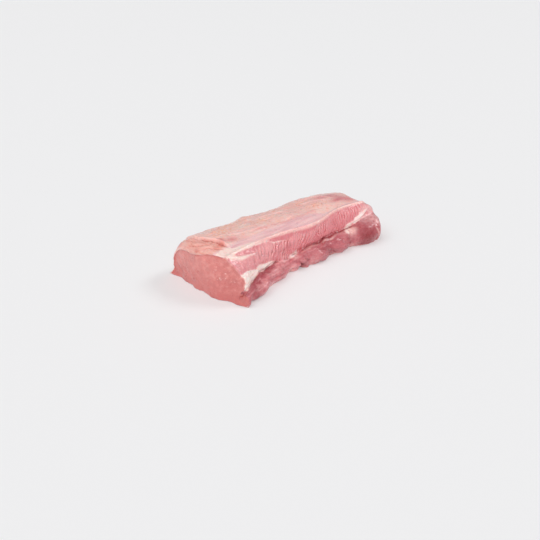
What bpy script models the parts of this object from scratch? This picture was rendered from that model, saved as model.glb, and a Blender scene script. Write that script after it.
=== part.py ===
"""A raw boneless pork loin roast: one piece of meat that lies on its flat underside.

The body is a loft between unlike cross-sections. +X runs from the near cut face to the far end,
+Y to the side that carries the fat cap, and +Z up. Sizes are in metres.
"""

import bpy
import numpy as np

# Driving dimensions: the places of the lines that run along the loin. Each row is read at these
# parts of its length, from the near cut face (0) to the far end (1).
STATIONS = (0.0, 0.2, 0.4, 0.6, 0.8, 1.0)
FAT_SIDE_Y = (0.0480, 0.0452, 0.0435, 0.0410, 0.0387, 0.0335)
TOP_Z = (0.0512, 0.0495, 0.0466, 0.0446, 0.0436, 0.0375)
RIDGE_Y = (-0.0265, -0.0225, -0.0235, -0.0300, -0.0255, -0.0320)
RIDGE_Z = (0.0465, 0.0455, 0.0430, 0.0410, 0.0410, 0.0390)
GROOVE_Y = (-0.0470, -0.0350, -0.0335, -0.0375, -0.0420, -0.0430)
GROOVE_Z = (0.0120, 0.0170, 0.0180, 0.0180, 0.0230, 0.0300)
CHAIN_Y = (-0.0528, -0.0466, -0.0440, -0.0500, -0.0552, -0.0685)
SLOPE_BULGE = (0.0050, 0.0030, 0.0015, 0.0010, 0.0015, 0.0030)
RIDGE_TURN = 0.0035
FOOT_INSET = 0.0030

# The two ends.
NEAR_FACE_X = -0.1105
NEAR_ROUNDING = 0.0012
FAR_END_X = 0.1275
FAR_ROUNDING = 0.0120
LENGTH = FAR_END_X - NEAR_FACE_X
CAP_ROLL_LENGTH = 0.0200
CAP_ROLL_DROP = 0.24

# Relief: heights and depths of the forms that stand out from the body or are cut into it.
CREASE_DEPTH = 0.0032
SEAM_HEIGHT = 0.0010
GROOVE_DEPTH = 0.0020
FAT_PAD_HEIGHT = 0.0016
LOBE_HEIGHT = 0.0022
NOTCH_DEPTH = 0.0035
MEMBRANE_WAVE = 0.0007

# The crease where the fat cap folds over the cut, and the rim behind it, as points (x, y).
CREASE_PATH = ((-0.100, 0.036), (-0.099, 0.018), (-0.093, 0.007), (-0.089, -0.002), (-0.087, -0.011))
CREASE_RIM_PATH = ((-0.094, 0.034), (-0.092, 0.016), (-0.086, 0.006), (-0.081, -0.008))
# Knots of fat on the top: place (x, y), reach along X and Y, and height.
TOP_KNOTS = (
    (-0.103, 0.014, 0.006, 0.020, 0.0008),
    (-0.025, 0.030, 0.007, 0.006, 0.0016),
    (0.064, -0.004, 0.008, 0.006, 0.0010),
)
# The white strand below the ridge, the streak of fat near the far end, and the top of the fat pad
# that lies on the groove near the cut, as points (x, z).
STRAND_PATH = ((-0.096, 0.0455), (-0.085, 0.0415), (-0.072, 0.0395), (-0.063, 0.0380))
STREAK_PATH = ((0.074, 0.0210), (0.091, 0.0245), (0.099, 0.0275), (0.113, 0.0300), (0.122, 0.0330))
FAT_PAD_TOP = ((-0.112, 0.0310), (-0.079, 0.0280), (-0.060, 0.0225), (-0.040, 0.0185))
# Pits in the groove: place along X, reach, and extra depth as a part of GROOVE_DEPTH.
GROOVE_PITS = ((-0.092, 0.006, 1.2), (0.001, 0.005, 1.0))
# Lobes and dips of the chain: place along X, reach, and height as a part of LOBE_HEIGHT.
CHAIN_LOBES = (
    (-0.070, 0.013, 1.0),
    (-0.036, 0.009, 0.5),
    (-0.020, 0.007, -0.8),
    (0.022, 0.012, 1.0),
    (0.041, 0.006, -0.8),
    (0.059, 0.009, 1.2),
    (0.075, 0.005, -1.0),
    (0.099, 0.011, 1.3),
)
NOTCH_X = -0.0035
NOTCH_TIP_X = 0.0040
END_FOLD_X = 0.1110

# Mesh: columns between neighbouring anchors of a cross-section, rows, and rings of the end faces.
COLUMNS = (4, 4, 3, 5, 3, 2, 2, 8, 7, 6, 5)
UNDERSIDE_COLUMNS = 8
ROWS = 76
FAR_ROWS = 6
FACE_RINGS = (0.88, 0.70, 0.50, 0.28)
LEAST_HEIGHT = 0.0004


def smooth(at, knots, values):
    """Reads a smooth curve through the values at the knots."""
    knots = np.asarray(knots, float)
    values = np.asarray(values, float)
    slopes = np.gradient(values, knots, axis=0)
    left = np.clip(np.searchsorted(knots, at, side="right") - 1, 0, len(knots) - 2)
    width = knots[left + 1] - knots[left]
    part = (at - knots[left]) / width
    if values.ndim > 1:
        width, part = width[:, None], part[:, None]
    return (
        (1 + 2 * part) * (1 - part) ** 2 * values[left]
        + part * (1 - part) ** 2 * width * slopes[left]
        + part**2 * (3 - 2 * part) * values[left + 1]
        - part**2 * (1 - part) * width * slopes[left + 1]
    )


def ease(value, start, end):
    """Rises smoothly from 0 at the start to 1 at the end."""
    part = np.clip((value - start) / (end - start), 0, 1)
    return part * part * (3 - 2 * part)


def bump(value, centre, reach):
    """A rounded hump of height 1 about the centre."""
    return np.exp(-(((value - centre) / reach) ** 2))


def off_path(u, v, path):
    """The distance of points (u, v) from a path, and how far along it (0 to 1) the nearest place is."""
    path = np.asarray(path, float)
    steps = np.linalg.norm(np.diff(path, axis=0), axis=1)
    nearest = np.full(np.shape(u), np.inf)
    along = np.zeros(np.shape(u))
    gone = 0.0
    for start, end, step in zip(path[:-1], path[1:], steps):
        du, dv = (end - start) / step
        reach = np.clip((u - start[0]) * du + (v - start[1]) * dv, 0, step)
        distance = np.hypot(u - start[0] - reach * du, v - start[1] - reach * dv)
        closer = distance < nearest
        nearest = np.where(closer, distance, nearest)
        along = np.where(closer, (gone + reach) / steps.sum(), along)
        gone += step
    return nearest, along


def near_face_x(y, z):
    """The cut across the near end: it turns back towards the chain side, and its toe is ragged."""
    turn = 0.0135 * ease(-y, 0.012, 0.056)
    lean = 0.16 * z * ease(-y, -0.010, 0.025)
    bulge = -0.0012 * np.cos(np.clip(y / 0.050, -1, 1) * np.pi / 2) * np.cos(z / 0.05 * np.pi / 2)
    toe = -0.0012 * bump(y, 0.009, 0.005) - 0.0014 * bump(y, -0.022, 0.006)
    toe += -0.0030 * bump(y, -0.045, 0.005) + 0.0016 * bump(y, 0.035, 0.004)
    return NEAR_FACE_X + turn + lean + bulge + toe * np.exp(-z / 0.005)


def far_end_x(y, z):
    """The far end: its lobe on the fat side reaches furthest."""
    lobe = 0.0065 * bump(y, 0.006, 0.014)
    chain = 0.0045 * ease(-y, 0.022, 0.040) * (ease(z, 0.008, 0.028) - 0.6)
    return FAR_END_X + lobe + chain


def anchors(part):
    """The points (y, z) that a cross-section's outline runs through, from foot to foot over the top."""
    fat_y, top_z, ridge_y, ridge_z, groove_y, groove_z, chain_y, bulge = (
        smooth(np.array([part]), STATIONS, row)[0]
        for row in (FAT_SIDE_Y, TOP_Z, RIDGE_Y, RIDGE_Z, GROOVE_Y, GROOVE_Z, CHAIN_Y, SLOPE_BULGE)
    )
    groove = np.array([groove_y, groove_z])
    ridge = np.array([ridge_y, ridge_z])
    slope = ridge - groove
    outward = np.array([-slope[1], slope[0]]) / np.linalg.norm(slope)
    middle = groove + slope / 2 + bulge * outward
    crown = np.array([ridge_y + 0.45 * (fat_y - ridge_y), top_z])
    below = ridge + (middle - ridge) * RIDGE_TURN / np.linalg.norm(middle - ridge)
    behind = ridge + (crown - ridge) * RIDGE_TURN / np.linalg.norm(crown - ridge)
    return np.array([
        (chain_y + FOOT_INSET, 0),
        (chain_y, 0.40 * groove_z),
        (groove_y + 0.60 * (chain_y - groove_y), 0.86 * groove_z),
        groove,
        middle,
        below,
        0.5 * ridge + 0.25 * (below + behind),
        behind,
        crown,
        (fat_y - 0.0110, top_z - 0.0055),
        (fat_y, 0.42 * top_z),
        (fat_y - FOOT_INSET, 0),
    ])


def cross_section(part):
    """The outline at one part of the length as a closed loop, one point for each column."""
    points = anchors(part)
    knots = np.concatenate(([0], np.cumsum(np.linalg.norm(np.diff(points, axis=0), axis=1))))
    places = np.concatenate(
        [np.linspace(start, end, count, endpoint=False)
         for start, end, count in zip(knots[:-1], knots[1:], COLUMNS)] + [knots[-1:]]
    )
    across = np.linspace(1, 0, UNDERSIDE_COLUMNS + 1)[1:-1, None]
    underside = points[0] + (points[-1] - points[0]) * across
    return np.concatenate((smooth(places, knots, points), underside))


def row_distances():
    """How far each row lies from the near face, close together where the ends are rounded."""
    near = np.array([0, 0.3, 1.0, 2.4]) * NEAR_ROUNDING
    body = np.linspace(0.0050, LENGTH - FAR_ROUNDING, ROWS)
    turn = np.linspace(0, np.pi / 2, FAR_ROWS + 1)[1:]
    return np.concatenate((near, body, LENGTH - FAR_ROUNDING * (1 - np.sin(turn))))


def rounding(distance, radius):
    """How far an edge of this radius has turned inward at a distance from its end."""
    return radius - np.sqrt(radius**2 - np.clip(radius - distance, 0, radius) ** 2)


def row_points(distance):
    """The points (x, y, z) of one row, with the ends rounded and the fat cap rolled over."""
    y, z = cross_section(distance / LENGTH).T
    inset = rounding(distance, NEAR_ROUNDING) + rounding(LENGTH - distance, FAR_ROUNDING)
    roll = rounding(distance, CAP_ROLL_LENGTH) / CAP_ROLL_LENGTH * ease(y, -0.028, 0.020)
    middle = (y[0] + y.max()) / 2
    z = z * (1 - CAP_ROLL_DROP * roll) * (1 - inset / z.max())
    y = middle + (y - middle) * (1 - inset / (y.max() - middle))
    near = near_face_x(y, z)
    return np.stack((near + (far_end_x(y, z) - near) * distance / LENGTH, y, z), axis=-1)


def crease_relief(x, y):
    """The crease deepens towards the chain side, and the membrane stands up in a rim behind it."""
    crease, along = off_path(x, y, CREASE_PATH)
    rim, _ = off_path(x, y, CREASE_RIM_PATH)
    depth = CREASE_DEPTH * (0.25 + 0.75 * ease(along, 0.3, 0.95))
    return 0.45 * CREASE_DEPTH * bump(rim, 0, 0.0035) - depth * bump(crease, 0, 0.0026)


def membrane_relief(x, y):
    """Wrinkles that run lengthwise in the membrane, and shallow dents between them."""
    wrinkles = np.sin(y / 0.0031 + 1.7 * np.sin(x / 0.019) + 0.8 * np.sin(x / 0.0073))
    dents = np.sin(x / 0.0125 + 1.1) * np.sin(y / 0.0105 + 0.6 + np.sin(x / 0.027))
    covered = ease(y, -0.016, 0.000) * ease(x, -0.090, -0.076)
    return MEMBRANE_WAVE * (0.35 * wrinkles + dents) * covered


def top_relief(x, y):
    """Forms on the membrane side: the folded crease, the wrinkles and a few knots of fat."""
    knots = sum(
        height * bump(x, knot_x, reach_x) * bump(y, knot_y, reach_y)
        for knot_x, knot_y, reach_x, reach_y, height in TOP_KNOTS
    )
    return crease_relief(x, y) + membrane_relief(x, y) + knots


def groove_relief(x, z, groove_z):
    """The groove between the loin and its chain, with two pits, and the fat that lies on it."""
    pits = sum(depth * bump(x, pit_x, reach) for pit_x, reach, depth in GROOVE_PITS)
    open_ends = ease(x, -0.104, -0.094) * ease(-x, -0.112, -0.090)
    height = -GROOVE_DEPTH * bump(z, groove_z, 0.0020) * open_ends * (1 + pits)
    pad_x, pad_z = np.transpose(FAT_PAD_TOP)
    pad_top = smooth(np.clip(x, pad_x[0], pad_x[-1]), pad_x, pad_z)
    pad = ease(z, groove_z - 0.0008, groove_z + 0.0014) * ease(-z, -pad_top, 0.0020 - pad_top)
    streak, _ = off_path(x, z, STREAK_PATH)
    return height + FAT_PAD_HEIGHT * (pad * ease(-x, 0.040, 0.050) + 0.6 * bump(streak, 0, 0.0022))


def chain_relief(x, z, groove_z):
    """The chain's lobes, the notch in its lower edge and the fold across its far end."""
    lobes = sum(height * bump(x, lobe_x, reach) for lobe_x, reach, height in CHAIN_LOBES)
    height = LOBE_HEIGHT * lobes * ease(-z, -groove_z, -0.55 * groove_z)
    height -= NOTCH_DEPTH * bump(x, NOTCH_X, 0.0030) * ease(-z, -0.011, -0.005)
    height += 0.7 * NOTCH_DEPTH * bump(x, NOTCH_TIP_X, 0.0032) * ease(-z, -0.006, 0.0)
    return height - 0.6 * GROOVE_DEPTH * bump(x, END_FOLD_X, 0.0022) * ease(-z, -0.024, -0.018)


def side_relief(x, z):
    """Forms on the chain side, from the white strand below the ridge down to the foot."""
    groove_z = smooth(np.clip((x - NEAR_FACE_X) / LENGTH, 0, 1), STATIONS, GROOVE_Z)
    strand, _ = off_path(x, z, STRAND_PATH)
    return (SEAM_HEIGHT * bump(strand, 0, 0.0017)
            + groove_relief(x, z, groove_z) + chain_relief(x, z, groove_z))


def relief(x, y, z):
    """How far each point of the side surface stands out from the plain body."""
    chain_side = ease(-y, 0.021, 0.027)
    top = (1 - chain_side) * ease(z, 0.018, 0.034)
    ridge_y = smooth(np.clip((x - NEAR_FACE_X) / LENGTH, 0, 1), STATIONS, RIDGE_Y)
    seam = SEAM_HEIGHT * bump(y, ridge_y + 0.0004, 0.0016) * ease(z, 0.034, 0.038)
    waves = np.sin(x / 0.011) * np.sin(z / 0.007 + np.sin(x / 0.023))
    fat_side = MEMBRANE_WAVE * waves * ease(y, 0.022, 0.030) * ease(z, 0.002, 0.010)
    return top_relief(x, y) * top + side_relief(x, z) * chain_side + seam + fat_side


def pull_flaps(points, distance):
    """Draws out the two torn flaps at the lower corners of the cut face, which lie on the ground."""
    x, y, z = points.T
    near = np.exp(-((distance / 0.0055) ** 2))
    fat_flap = near * np.clip(1 - z / 0.0085, 0, 1) ** 1.5 * ease(y, 0.030, 0.046)
    chain_flap = near * np.clip(1 - z / 0.0120, 0, 1) * ease(-y, 0.044, 0.050)
    return np.stack((x - 0.0030 * fat_flap - 0.0010 * chain_flap,
                     y + 0.0075 * fat_flap - 0.0060 * chain_flap, z), axis=-1)


def body_grid():
    """The side surface and underside as rows of points (x, y, z)."""
    distances = row_distances()
    grid = np.array([row_points(distance) for distance in distances])
    shell = sum(COLUMNS) + 1
    sides = grid[:, :shell]
    along, round_it = np.gradient(sides, axis=0), np.gradient(sides, axis=1)
    normals = np.cross(along, round_it)
    normals /= np.linalg.norm(normals, axis=2, keepdims=True)
    fade = ease(distances, 0.0, 0.0035) * ease(LENGTH - distances, 0.0, 0.008)
    height = relief(*np.moveaxis(sides, 2, 0)) * fade[:, None]
    raised = sides + normals * height[:, :, None]
    raised[:, 1:-1, 2] = np.maximum(raised[:, 1:-1, 2], LEAST_HEIGHT)
    raised[:, [0, -1], 2] = 0
    grid[:, :shell] = raised
    across = np.linspace(1, 0, UNDERSIDE_COLUMNS + 1)[None, 1:-1, None]
    flat = raised[:, :1] + (raised[:, -1:] - raised[:, :1]) * across
    grid[:, shell:, 1] = flat[:, :, 1]
    return np.array([pull_flaps(row, distance) for row, distance in zip(grid, distances)])


def face_rings(border, surface_x):
    """The points inside an end's border, ring by ring towards its middle."""
    middle = np.array([(border[:, 1].min() + border[:, 1].max()) / 2, border[:, 2].max() * 0.45])
    for ring in FACE_RINGS:
        y, z = (middle + (border[:, 1:] - middle) * ring).T
        # The border's own difference from the plain cut fades out towards the middle.
        edge = (border[:, 0] - surface_x(border[:, 1], border[:, 2])) * ring**3
        yield np.column_stack((surface_x(y, z) + edge, y, z))
    yield np.array([[surface_x(*middle), *middle]])


def loin_mesh():
    """All points and faces of the loin: the grid, closed at each end by rings."""
    grid = body_grid()
    rows, columns = grid.shape[:2]
    points = list(grid.reshape(-1, 3))
    index = np.arange(rows * columns).reshape(rows, columns)
    column = np.arange(columns)
    beside = (column + 1) % columns
    faces = []
    for near, far in zip(index[:-1], index[1:]):
        faces += list(zip(far[column], far[beside], near[beside], near[column]))
    for border, surface_x, turned in ((0, near_face_x, False), (rows - 1, far_end_x, True)):
        outer = index[border]
        for ring in face_rings(grid[border], surface_x):
            inner = len(points) + (column if len(ring) > 1 else np.zeros(columns, int))
            points.extend(ring)
            for corners in zip(outer[column], outer[beside], inner[beside], inner[column]):
                corners = tuple(dict.fromkeys(corners))
                faces.append(corners[::-1] if turned else corners)
            outer = inner
    return np.array(points), faces


def meat_material():
    """Moist raw pork."""
    material = bpy.data.materials.new("raw pork")
    material.use_nodes = True
    shader = material.node_tree.nodes["Principled BSDF"]
    shader.inputs["Base Color"].default_value = (0.74, 0.30, 0.27, 1)
    shader.inputs["Roughness"].default_value = 0.38
    shader.inputs["Metallic"].default_value = 0
    return material


def build():
    """Clears the scene and adds the loin, centred over its underside."""
    for old in list(bpy.data.objects):
        bpy.data.objects.remove(old)
    collection = bpy.data.collections.new("pork loin roast")
    bpy.context.scene.collection.children.link(collection)
    points, faces = loin_mesh()
    middle = (points.min(axis=0) + points.max(axis=0)) / 2
    points[:, :2] -= middle[:2]
    mesh = bpy.data.meshes.new("pork_loin")
    mesh.from_pydata(points.tolist(), [], [[int(corner) for corner in face] for face in faces])
    mesh.validate()
    mesh.shade_smooth()
    mesh.materials.append(meat_material())
    collection.objects.link(bpy.data.objects.new("pork_loin", mesh))


build()
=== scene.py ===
import math

import bpy
import numpy as np
from mathutils import Matrix, Vector


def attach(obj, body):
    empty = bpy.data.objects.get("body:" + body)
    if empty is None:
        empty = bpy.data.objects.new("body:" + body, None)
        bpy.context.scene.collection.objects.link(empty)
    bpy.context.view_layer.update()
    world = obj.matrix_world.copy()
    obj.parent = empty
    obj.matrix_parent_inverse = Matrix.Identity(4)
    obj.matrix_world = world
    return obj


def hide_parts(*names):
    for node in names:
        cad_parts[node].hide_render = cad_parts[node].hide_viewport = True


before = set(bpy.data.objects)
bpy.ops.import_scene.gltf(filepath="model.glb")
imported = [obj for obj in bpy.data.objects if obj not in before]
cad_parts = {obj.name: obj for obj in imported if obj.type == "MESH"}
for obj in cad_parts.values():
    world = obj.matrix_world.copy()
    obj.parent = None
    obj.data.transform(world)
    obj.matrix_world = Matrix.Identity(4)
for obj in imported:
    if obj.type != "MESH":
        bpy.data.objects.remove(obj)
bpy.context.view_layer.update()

# The body of the loin: one boneless piece of raw pork, cut square across the near end. It has
# slumped a little on its flat side, so it is a loft through sections that change along it. Lengths
# are in metres, in the loin's own working frame, which CENTRE moves onto the middle of the part.
CENTRE = (0.0102, -0.0068)
STATIONS = (0.0, 0.2, 0.4, 0.6, 0.8, 1.0)
FAT_SIDE_Y = (0.0480, 0.0452, 0.0435, 0.0410, 0.0387, 0.0335)
TOP_Z = (0.0512, 0.0495, 0.0466, 0.0446, 0.0436, 0.0375)
RIDGE_Y = (-0.0265, -0.0225, -0.0235, -0.0300, -0.0255, -0.0320)
RIDGE_Z = (0.0465, 0.0455, 0.0430, 0.0410, 0.0410, 0.0390)
GROOVE_Y = (-0.0498, -0.0352, -0.0335, -0.0375, -0.0422, -0.0462)
GROOVE_Z = (0.0120, 0.0170, 0.0180, 0.0180, 0.0230, 0.0300)
CHAIN_Y = (-0.0528, -0.0466, -0.0440, -0.0500, -0.0552, -0.0685)
SLOPE_BULGE = (0.0050, 0.0030, 0.0015, 0.0010, 0.0015, 0.0030)
RIDGE_TURN = 0.0035
FOOT_INSET = 0.0030
NEAR_FACE_X = -0.1105
NEAR_ROUNDING = 0.0007
FAR_END_X = 0.1275
FAR_ROUNDING = 0.0120
LENGTH = FAR_END_X - NEAR_FACE_X
CAP_ROLL_LENGTH = 0.0200
CAP_ROLL_DROP = 0.24
CUT_TURN = 0.0135
CUT_SLANT = 0.16
CUT_BULGE = 0.0012
CUT_RAGS = ((0.009, 0.005, -0.0012), (-0.022, 0.006, -0.0014), (-0.045, 0.005, -0.0030),
            (0.035, 0.004, 0.0016))
FAR_LOBE = ((0.006, 0.014, 0.0065),)
FAR_CHAIN_STEP = 0.0055
FAR_CORNER = (-0.043, 0.030, 0.012, 0.010)
FAR_CORNER_HEIGHT = 0.0050
CHAIN_BELLY = 0.40
CHAIN_SHOULDER = (0.60, 0.86)
CROWN_PLACE = 0.45
FAT_SHOULDER = (0.0110, 0.0055)
FAT_BELLY = 0.42

# Columns of the mesh between neighbouring anchors of a section, and its rows along the loin.
COLUMNS = (12, 16, 18, 32, 24, 4, 6, 44, 34, 26, 18)
UNDERSIDE_COLUMNS = 40
NEAR_ROWS = 5
BODY_ROWS = 270
FAR_ROWS = 14


def smooth(at, knots, values):
    """Reads a smooth curve through the values at the knots."""
    knots = np.asarray(knots, float)
    values = np.asarray(values, float)
    slopes = np.gradient(values, knots, axis=0)
    left = np.clip(np.searchsorted(knots, at, side="right") - 1, 0, len(knots) - 2)
    width = knots[left + 1] - knots[left]
    part = (at - knots[left]) / width
    if values.ndim > 1:
        width, part = width[:, None], part[:, None]
    return (
        (1 + 2 * part) * (1 - part) ** 2 * values[left]
        + part * (1 - part) ** 2 * width * slopes[left]
        + part**2 * (3 - 2 * part) * values[left + 1]
        - part**2 * (1 - part) * width * slopes[left + 1]
    )


def along_loin(x, row):
    """Reads a row of driving dimensions at places x along the loin."""
    return smooth(np.clip((x - NEAR_FACE_X) / LENGTH, 0, 1), STATIONS, row)


def ease(value, start, end):
    """Rises smoothly from 0 at the start to 1 at the end."""
    part = np.clip((value - start) / (end - start), 0, 1)
    return part * part * (3 - 2 * part)


def bump(value, centre, reach):
    """A rounded hump of height 1 about the centre."""
    return np.exp(-(((value - centre) / reach) ** 2))


def hills(value, places):
    """Rounded humps added up, each given by its middle, its reach and its height."""
    return sum(height * bump(value, middle, reach) for middle, reach, height in places)


def patch(u, v, place):
    """A rounded patch of height 1, given by its middle and by its reach along u and v."""
    at_u, at_v, reach_u, reach_v = place
    return bump(u, at_u, reach_u) * bump(v, at_v, reach_v)


def near_face_x(y, z):
    """The cut across the near end: it turns back towards the chain side, and its toe is ragged."""
    turn = CUT_TURN * ease(-y, 0.012, 0.056)
    slant = CUT_SLANT * z * ease(-y, -0.010, 0.025)
    bulge = CUT_BULGE * np.cos(np.clip(y / 0.050, -1, 1) * np.pi / 2) * np.cos(z / 0.05 * np.pi / 2)
    return NEAR_FACE_X + turn + slant - bulge + hills(y, CUT_RAGS) * np.exp(-z / 0.005)


def far_end_x(y, z):
    """The far end: its lobe on the fat side reaches furthest."""
    chain = FAR_CHAIN_STEP * ease(-y, 0.022, 0.040) * (1 - ease(z, 0.010, 0.030))
    return FAR_END_X + hills(y, FAR_LOBE) - chain + FAR_CORNER_HEIGHT * patch(y, z, FAR_CORNER)


def anchors(part):
    """The points (y, z) that a section's outline runs through, from foot to foot over the top."""
    fat_y, top_z, ridge_y, ridge_z, groove_y, groove_z, chain_y, bulge = (
        smooth(np.array([part]), STATIONS, row)[0]
        for row in (FAT_SIDE_Y, TOP_Z, RIDGE_Y, RIDGE_Z, GROOVE_Y, GROOVE_Z, CHAIN_Y, SLOPE_BULGE)
    )
    groove = np.array([groove_y, groove_z])
    ridge = np.array([ridge_y, ridge_z])
    slope = ridge - groove
    outward = np.array([-slope[1], slope[0]]) / np.linalg.norm(slope)
    middle = groove + slope / 2 + bulge * outward
    crown = np.array([ridge_y + CROWN_PLACE * (fat_y - ridge_y), top_z])
    below = ridge + (middle - ridge) * RIDGE_TURN / np.linalg.norm(middle - ridge)
    behind = ridge + (crown - ridge) * RIDGE_TURN / np.linalg.norm(crown - ridge)
    return np.array([
        (chain_y + FOOT_INSET, 0),
        (chain_y, CHAIN_BELLY * groove_z),
        (groove_y + CHAIN_SHOULDER[0] * (chain_y - groove_y), CHAIN_SHOULDER[1] * groove_z),
        groove,
        middle,
        below,
        0.5 * ridge + 0.25 * (below + behind),
        behind,
        crown,
        (fat_y - FAT_SHOULDER[0], top_z - FAT_SHOULDER[1]),
        (fat_y, FAT_BELLY * top_z),
        (fat_y - FOOT_INSET, 0),
    ])


# The anchors by number, for telling where on a section a column lies.
GROOVE, SLOPE_MIDDLE, RIDGE, REAR_FOOT = 3, 4, 6, 11


def section_places():
    """Each column's place round a section, counted in anchors."""
    runs = [np.linspace(i, i + 1, count, endpoint=False) for i, count in enumerate(COLUMNS)]
    return np.concatenate(runs + [[float(REAR_FOOT)]])


def cross_section(part):
    """The outline at one part of the length as a closed loop, one point for each column."""
    points = anchors(part)
    knots = np.concatenate(([0], np.cumsum(np.linalg.norm(np.diff(points, axis=0), axis=1))))
    places = np.interp(section_places(), np.arange(len(points)), knots)
    across = np.linspace(1, 0, UNDERSIDE_COLUMNS + 1)[1:-1, None]
    underside = points[0] + (points[-1] - points[0]) * across
    return np.concatenate((smooth(places, knots, points), underside))


def row_distances():
    """How far each row lies from the near face, close together where the ends are rounded."""
    near = NEAR_ROUNDING * (1 - np.cos(np.linspace(0, np.pi / 2, NEAR_ROWS)))
    body = np.linspace(2 * NEAR_ROUNDING, LENGTH - FAR_ROUNDING, BODY_ROWS)
    turn = np.linspace(0, np.pi / 2, FAR_ROWS + 1)[1:]
    return np.concatenate((near, body, LENGTH - FAR_ROUNDING * (1 - np.sin(turn))))


def rounding(distance, radius):
    """How far an edge of this radius has turned inward at a distance from its end."""
    return radius - np.sqrt(radius**2 - np.clip(radius - distance, 0, radius) ** 2)


def row_points(distance):
    """The points (x, y, z) of one row, with the ends rounded and the fat cap rolled over."""
    y, z = cross_section(distance / LENGTH).T
    inset = rounding(distance, NEAR_ROUNDING) + rounding(LENGTH - distance, FAR_ROUNDING)
    roll = rounding(distance, CAP_ROLL_LENGTH) / CAP_ROLL_LENGTH * ease(y, -0.028, 0.020)
    middle = (y[0] + y.max()) / 2
    z = z * (1 - CAP_ROLL_DROP * roll) * (1 - inset / z.max())
    y = middle + (y - middle) * (1 - inset / (y.max() - middle))
    near = near_face_x(y, z)
    return np.stack((near + (far_end_x(y, z) - near) * distance / LENGTH, y, z), axis=-1)


# The large forms worked into that body: where the fat cap folds over the cut, the white seam along
# the ridge, the groove between the loin and the chain muscle below it, and the chain's own lobes.
CREASE_DEPTH = 0.0040
CREASE_SWELL = ((0.0022, 0.0026, 0.40), (0.0085, 0.0075, 0.20))
CREASE_TUCK = ((-0.0001, 0.0008, 0.95), (-0.0016, 0.0030, 0.42))
SEAM_HEIGHT = 0.0010
GROOVE_DEPTH = 0.0020
GROOVE_CLEFT = ((0, 0.0026, 0.40), (0, 0.0010, 0.75))
GROOVE_WAVE = 0.0013
GROOVE_WANDER = ((0.0008, 0.011, 1), (0.0005, 0.0045, 2))
LIP_HEIGHT = 0.0010
FAT_PAD_HEIGHT = 0.00208
LOBE_HEIGHT = 0.0027
NOTCH_DEPTH = 0.0035
NOTCH_TIP_HEIGHT = 0.00315
END_FOLD_DEPTH = 0.0016
MEMBRANE_WAVE = 0.0007
CREASE_PATH = ((-0.100, 0.040), (-0.099, 0.018), (-0.093, 0.007), (-0.089, -0.002), (-0.087, -0.011),
               (-0.0865, -0.0180))
TOP_KNOTS = (
    (-0.103, 0.014, 0.006, 0.020, 0.0008),
    (-0.025, 0.030, 0.007, 0.006, 0.0016),
    (0.064, -0.004, 0.008, 0.006, 0.0010),
)
STRAND_PATH = ((-0.096, 0.0455), (-0.085, 0.0415), (-0.072, 0.0395), (-0.063, 0.0380))
FAT_PAD_TOP = ((-0.112, 0.0310), (-0.079, 0.0280), (-0.060, 0.0225), (-0.040, 0.0185))
GROOVE_PITS = ((-0.092, 0.006, 1.0), (-0.062, 0.004, 0.5), (0.002, 0.004, 1.0), (0.047, 0.005, 0.7))
CHAIN_LOBES = (
    (-0.070, 0.013, 1.0),
    (-0.036, 0.009, 0.5),
    (-0.020, 0.007, -0.8),
    (0.022, 0.012, 1.0),
    (0.041, 0.006, -0.8),
    (0.059, 0.009, 1.2),
    (0.075, 0.005, -1.0),
    (0.099, 0.011, 1.3),
)
GROOVE_RISES = ((-0.082, 0.009, 0.0019), (-0.062, 0.005, 0.0019), (0.0415, 0.0055, 0.0031))
NOTCH_X = -0.0035
NOTCH_REACH = 0.0026
NOTCH_TIP_X = 0.0040
NOTCH_TIP_REACH = 0.0030
END_FOLD_X = 0.1110
END_FOLD_REACH = 0.0017
TOE_LUMP = (-0.1030, 0.0100, 0.0090, 0.0040)
TOE_LUMP_HEIGHT = 0.0028
FLAP_REACH = 0.0055
FAT_FLAP = (-0.0030, 0.0075, 0)
CHAIN_FLAP = (0.0010, -0.0098, 0)


def off_path(u, v, path):
    """The distance of points (u, v) from a path, and how far along it (0 to 1) the nearest place is."""
    path = np.asarray(path, float)
    steps = np.linalg.norm(np.diff(path, axis=0), axis=1)
    nearest = np.full(np.shape(u), np.inf)
    along = np.zeros(np.shape(u))
    gone = 0.0
    for start, end, step in zip(path[:-1], path[1:], steps):
        du, dv = (end - start) / step
        reach = np.clip((u - start[0]) * du + (v - start[1]) * dv, 0, step)
        distance = np.hypot(u - start[0] - reach * du, v - start[1] - reach * dv)
        closer = distance < nearest
        nearest = np.where(closer, distance, nearest)
        along = np.where(closer, (gone + reach) / steps.sum(), along)
        gone += step
    return nearest, along


def drift(places, size, seed):
    """Smooth random values, about -1 to 1, that change over the given size along each direction."""
    cells = 32
    lattice = np.random.default_rng(seed).uniform(-1, 1, (cells, cells, cells))
    places = np.asarray(places) / size + 7.3 * seed
    cell = np.floor(places).astype(int)
    part = places - cell
    part = part * part * (3 - 2 * part)
    total = np.zeros(places.shape[:-1])
    for corner in np.ndindex(2, 2, 2):
        share = np.prod(np.where(corner, part, 1 - part), axis=-1)
        total += share * lattice[tuple(np.moveaxis((cell + corner) % cells, -1, 0))]
    return total


def rough(points, layers):
    """Smooth random heights added up, each given by its height, its size and its seed."""
    return sum(height * drift(points, size, seed) for height, size, seed in layers)


def behind_crease(x, y):
    """How far behind the crease a point lies, negative in front of it, and how far along that is."""
    off, along = off_path(x, y, CREASE_PATH)
    path_x, path_y = np.transpose(CREASE_PATH)
    return np.where(x > np.interp(-y, -path_y, path_x), off, -off), along


def crease_relief(x, y):
    """The membrane folds over at the crease: it swells behind it and tucks in sharply at its foot."""
    behind, along = behind_crease(x, y)
    depth = CREASE_DEPTH * (0.45 + 0.55 * ease(along, 0.20, 0.70)) * ease(-along, -0.98, -0.80)
    return depth * (hills(behind, CREASE_SWELL) - hills(behind, CREASE_TUCK))


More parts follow.
